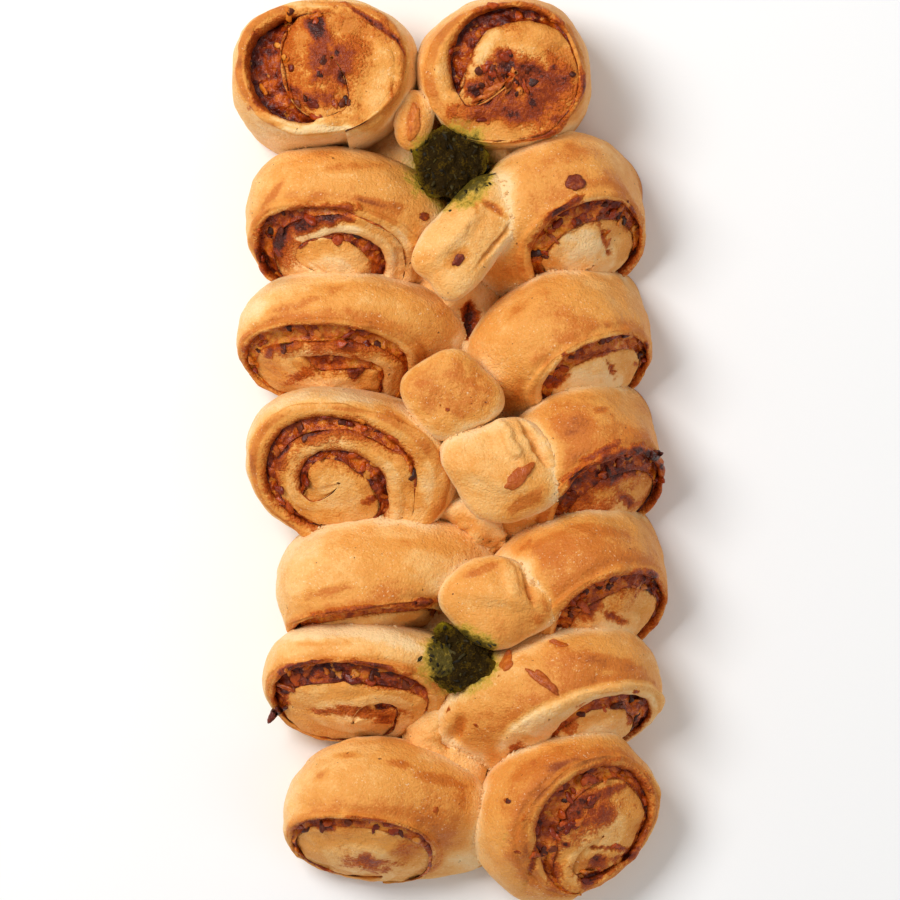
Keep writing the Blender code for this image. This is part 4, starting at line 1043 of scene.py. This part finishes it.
def scatter_tree():
    """Bits of one kind on a surface: balls of random sizes and turns, made ragged, as one mesh."""
    tree = bpy.data.node_groups.new("scattered bits", "GeometryNodeTree")
    kinds = dict(Ground="Geometry", Crowd="String", Number="Float", Smallest="Vector", Largest="Vector",
                 Ragged="Float", Tilt="Float", Seed="Int", Finish="Material")
    sockets = {}
    for name, kind in kinds.items():
        socket = tree.interface.new_socket(name, in_out="INPUT", socket_type=f"NodeSocket{kind}")
        sockets[name] = socket.identifier
    tree.interface.new_socket("Bits", in_out="OUTPUT", socket_type="NodeSocketGeometry")
    given = tree.nodes.new("NodeGroupInput")
    nodes = Value(tree, None)
    of = {name: Value(tree, given.outputs[name]) for name in kinds}
    crowd = nodes.made("GeometryNodeInputNamedAttribute", dict(data_type="FLOAT"), Name=of["Crowd"])
    points = nodes.made("GeometryNodeDistributePointsOnFaces", None, Mesh=of["Ground"], Seed=of["Seed"],
                        Density=crowd * of["Number"])
    lying = Value(tree, points.socket.node.outputs["Rotation"])
    least = nodes.made("ShaderNodeCombineXYZ", None, X=of["Tilt"] * -1, Y=of["Tilt"] * -1, Z=0.0)
    most = nodes.made("ShaderNodeCombineXYZ", None, X=of["Tilt"], Y=of["Tilt"], Z=TAU)
    turn = nodes.made("FunctionNodeRandomValue", dict(data_type="FLOAT_VECTOR"), _0=least, _1=most,
                      Seed=of["Seed"] + 1)
    turn = nodes.made("FunctionNodeEulerToRotation", None, Euler=turn)
    lying = nodes.made("FunctionNodeRotateRotation", dict(rotation_space="LOCAL"), _0=lying, _1=turn)
    size = nodes.made("FunctionNodeRandomValue", dict(data_type="FLOAT_VECTOR"), _0=of["Smallest"],
                      _1=of["Largest"], Seed=of["Seed"] + 2)
    bit = nodes.made("GeometryNodeMeshUVSphere", None, Segments=9, Rings=6, Radius=0.5)
    bits = nodes.made("GeometryNodeInstanceOnPoints", None, Points=points, Instance=bit, Rotation=lying,
                      Scale=size)
    tint = nodes.made("FunctionNodeRandomValue", dict(data_type="FLOAT"), 1, Seed=of["Seed"] + 3)
    bits = nodes.made("GeometryNodeStoreNamedAttribute", dict(data_type="FLOAT", domain="INSTANCE"),
                      Geometry=bits, Name="tint", Value=tint)
    bits = nodes.made("GeometryNodeRealizeInstances", None, Geometry=bits)
    wave = nodes.made("ShaderNodeTexNoise", None, 0, Scale=480.0, Detail=2.0) - 0.5
    outwards = nodes.made("GeometryNodeInputNormal")
    push = nodes.made("ShaderNodeVectorMath", dict(operation="SCALE"), _0=outwards,
                      Scale=wave * of["Ragged"])
    bits = nodes.made("GeometryNodeSetPosition", None, Geometry=bits, Offset=push)
    bits = nodes.made("GeometryNodeSetShadeSmooth", None, Geometry=bits)
    bits = nodes.made("GeometryNodeSetMaterial", None, Geometry=bits, Material=of["Finish"])
    out = tree.nodes.new("NodeGroupOutput")
    tree.links.new(bits.socket, out.inputs[0])
    return tree, sockets


def bit_material(name, pale, medium, deep, rough, coat):
    """One kind of bit: each has its own tone between deep and pale."""
    material, shader, paint = material_of(
        name, Specular_IOR_Level=0.3, Coat_Weight=coat, Coat_Roughness=0.15)
    level = paint.read("tint") * 0.8 + (paint.speckle(1.6, 3) - 0.5) * 0.9
    colour = level.shades(deep, (0.0, 0.4, *medium), (0.4, 0.85, *pale))
    colour.into(shader, "Base Color")
    (rough + (paint.speckle(0.8, 2) - 0.5) * 0.3).into(shader, "Roughness")
    paint.speckle(0.9, 3).bump(shader, 0.0005, 0.7)
    return material


ground = ground_of()
tree, sockets = scatter_tree()
# Each kind: its name, what it follows, how many to a square metre where that is 1, its smallest and its
# largest size in mm, how ragged it is in mm, how far it tilts, its slot, and its finish: the colours, the
# roughness and the coat.
KINDS = [
    ("bits_char", "crowd", 9000, (2.6, 2.0, 0.8), (6.5, 4.0, 1.8), 4.5, 0.25, "filling",
     bit_material("charred crumbs", (130, 54, 12), (90, 32, 8), (56, 20, 6), 0.45, 0.05)),
    ("bits_tomato", "crowd", 10000, (3.0, 2.2, 0.9), (8.5, 5.0, 2.0), 4.5, 0.25, "filling",
     bit_material("dried tomato", (190, 78, 8), (152, 50, 5), (108, 28, 5), 0.3, 0.1)),
    ("bits_onion", "crowd", 5500, (4.0, 1.5, 0.7), (10.5, 3.0, 1.4), 3.5, 0.25, "filling",
     bit_material("browned onion", (216, 122, 30), (194, 92, 14), (150, 60, 6), 0.28, 0.1)),
    ("bits_cheese", "crowd", 3000, (2.4, 2.0, 0.8), (6.0, 4.4, 1.6), 3.5, 0.25, "filling",
     bit_material("melted cheese", (226, 146, 54), (208, 116, 30), (184, 88, 14), 0.35, 0.1)),
    ("bits_basil", "leaf", 110000, (1.0, 0.7, 0.3), (4.8, 1.6, 0.8), 2.5, 0.8, "pesto",
     bit_material("chopped basil", (72, 60, 7), (42, 32, 3), (20, 13, 1), 0.7, 0.0)),
    ("bits_torn", "torn", 500000, (0.6, 0.5, 0.3), (3.2, 1.2, 0.8), 2.2, 0.6, "crust",
     bit_material("torn crumb", (246, 214, 164), (236, 190, 130), (214, 156, 92), 0.8, 0.0)),
]
for seed, (name, crowd, number, smallest, largest, ragged, tilt, slot, finish) in enumerate(KINDS):
    modifier = ground.modifiers.new("scatter", "NODES")
    modifier.node_group = tree
    values = dict(Crowd=crowd, Number=float(number), Smallest=[c * MM for c in smallest],
                  Largest=[c * MM for c in largest], Ragged=ragged * MM, Tilt=tilt, Seed=seed * 10,
                  Finish=finish)
    for key, value in values.items():
        modifier[sockets[key]] = value
    seen = ground.evaluated_get(bpy.context.evaluated_depsgraph_get())
    mesh = bpy.data.meshes.new_from_object(seen)
    ground.modifiers.remove(modifier)
    spots = np.empty(len(mesh.vertices) * 3)
    mesh.vertices.foreach_get("co", spots)
    mesh.vertices.foreach_set("co", np.ravel(inside_box(spots.reshape(-1, 3) / MM)) * MM)
    piece = bpy.data.objects.new(name, mesh)
    bpy.context.scene.collection.objects.link(piece)
    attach(piece, "root")
bpy.data.objects.remove(ground)

# A plain pale floor, a soft studio lamp from the upper left with a weak one opposite, and a camera far
# above the middle of the loaf, as the photograph was taken.
floor_mesh = bpy.data.meshes.new("floor")
floor_mesh.from_pydata([(-3, -3, 0), (3, -3, 0), (3, 3, 0), (-3, 3, 0)], [], [(0, 1, 2, 3)])
floor = bpy.data.objects.new("floor", floor_mesh)
bpy.context.scene.collection.objects.link(floor)
material, shader, paint = material_of("paper sweep", Roughness=0.9)
(paint.speckle(300, 2) * 0.02 + 0.9).mix((0, 0, 0), (1, 1, 1)).into(shader, "Base Color")
floor_mesh.materials.append(material)

world = bpy.data.worlds.new("studio")
bpy.context.scene.world = world
world.use_nodes = True
world.node_tree.nodes["Background"].inputs[0].default_value = (1, 0.99, 0.97, 1)
world.node_tree.nodes["Background"].inputs[1].default_value = 0.42
for name, place, size, power in (("key", (-0.9, 0.7, 1.5), 0.85, 30), ("fill", (1.3, -0.6, 1.2), 1.4, 4)):
    light = bpy.data.lights.new(name, "AREA")
    light.size, light.energy = size, power
    lamp = bpy.data.objects.new(name, light)
    lamp.location = place
    lamp.rotation_euler = (-Vector(place)).to_track_quat("-Z", "Y").to_euler()
    bpy.context.scene.collection.objects.link(lamp)

camera = bpy.data.objects.new("camera", bpy.data.cameras.new("camera"))
camera.location = (-0.0004, 0.0005, 3.4)
camera.data.lens, camera.data.sensor_width, camera.data.clip_end = 320, 36, 20
bpy.context.scene.collection.objects.link(camera)
bpy.context.scene.camera = camera
bpy.context.scene.view_settings.view_transform = "Standard"
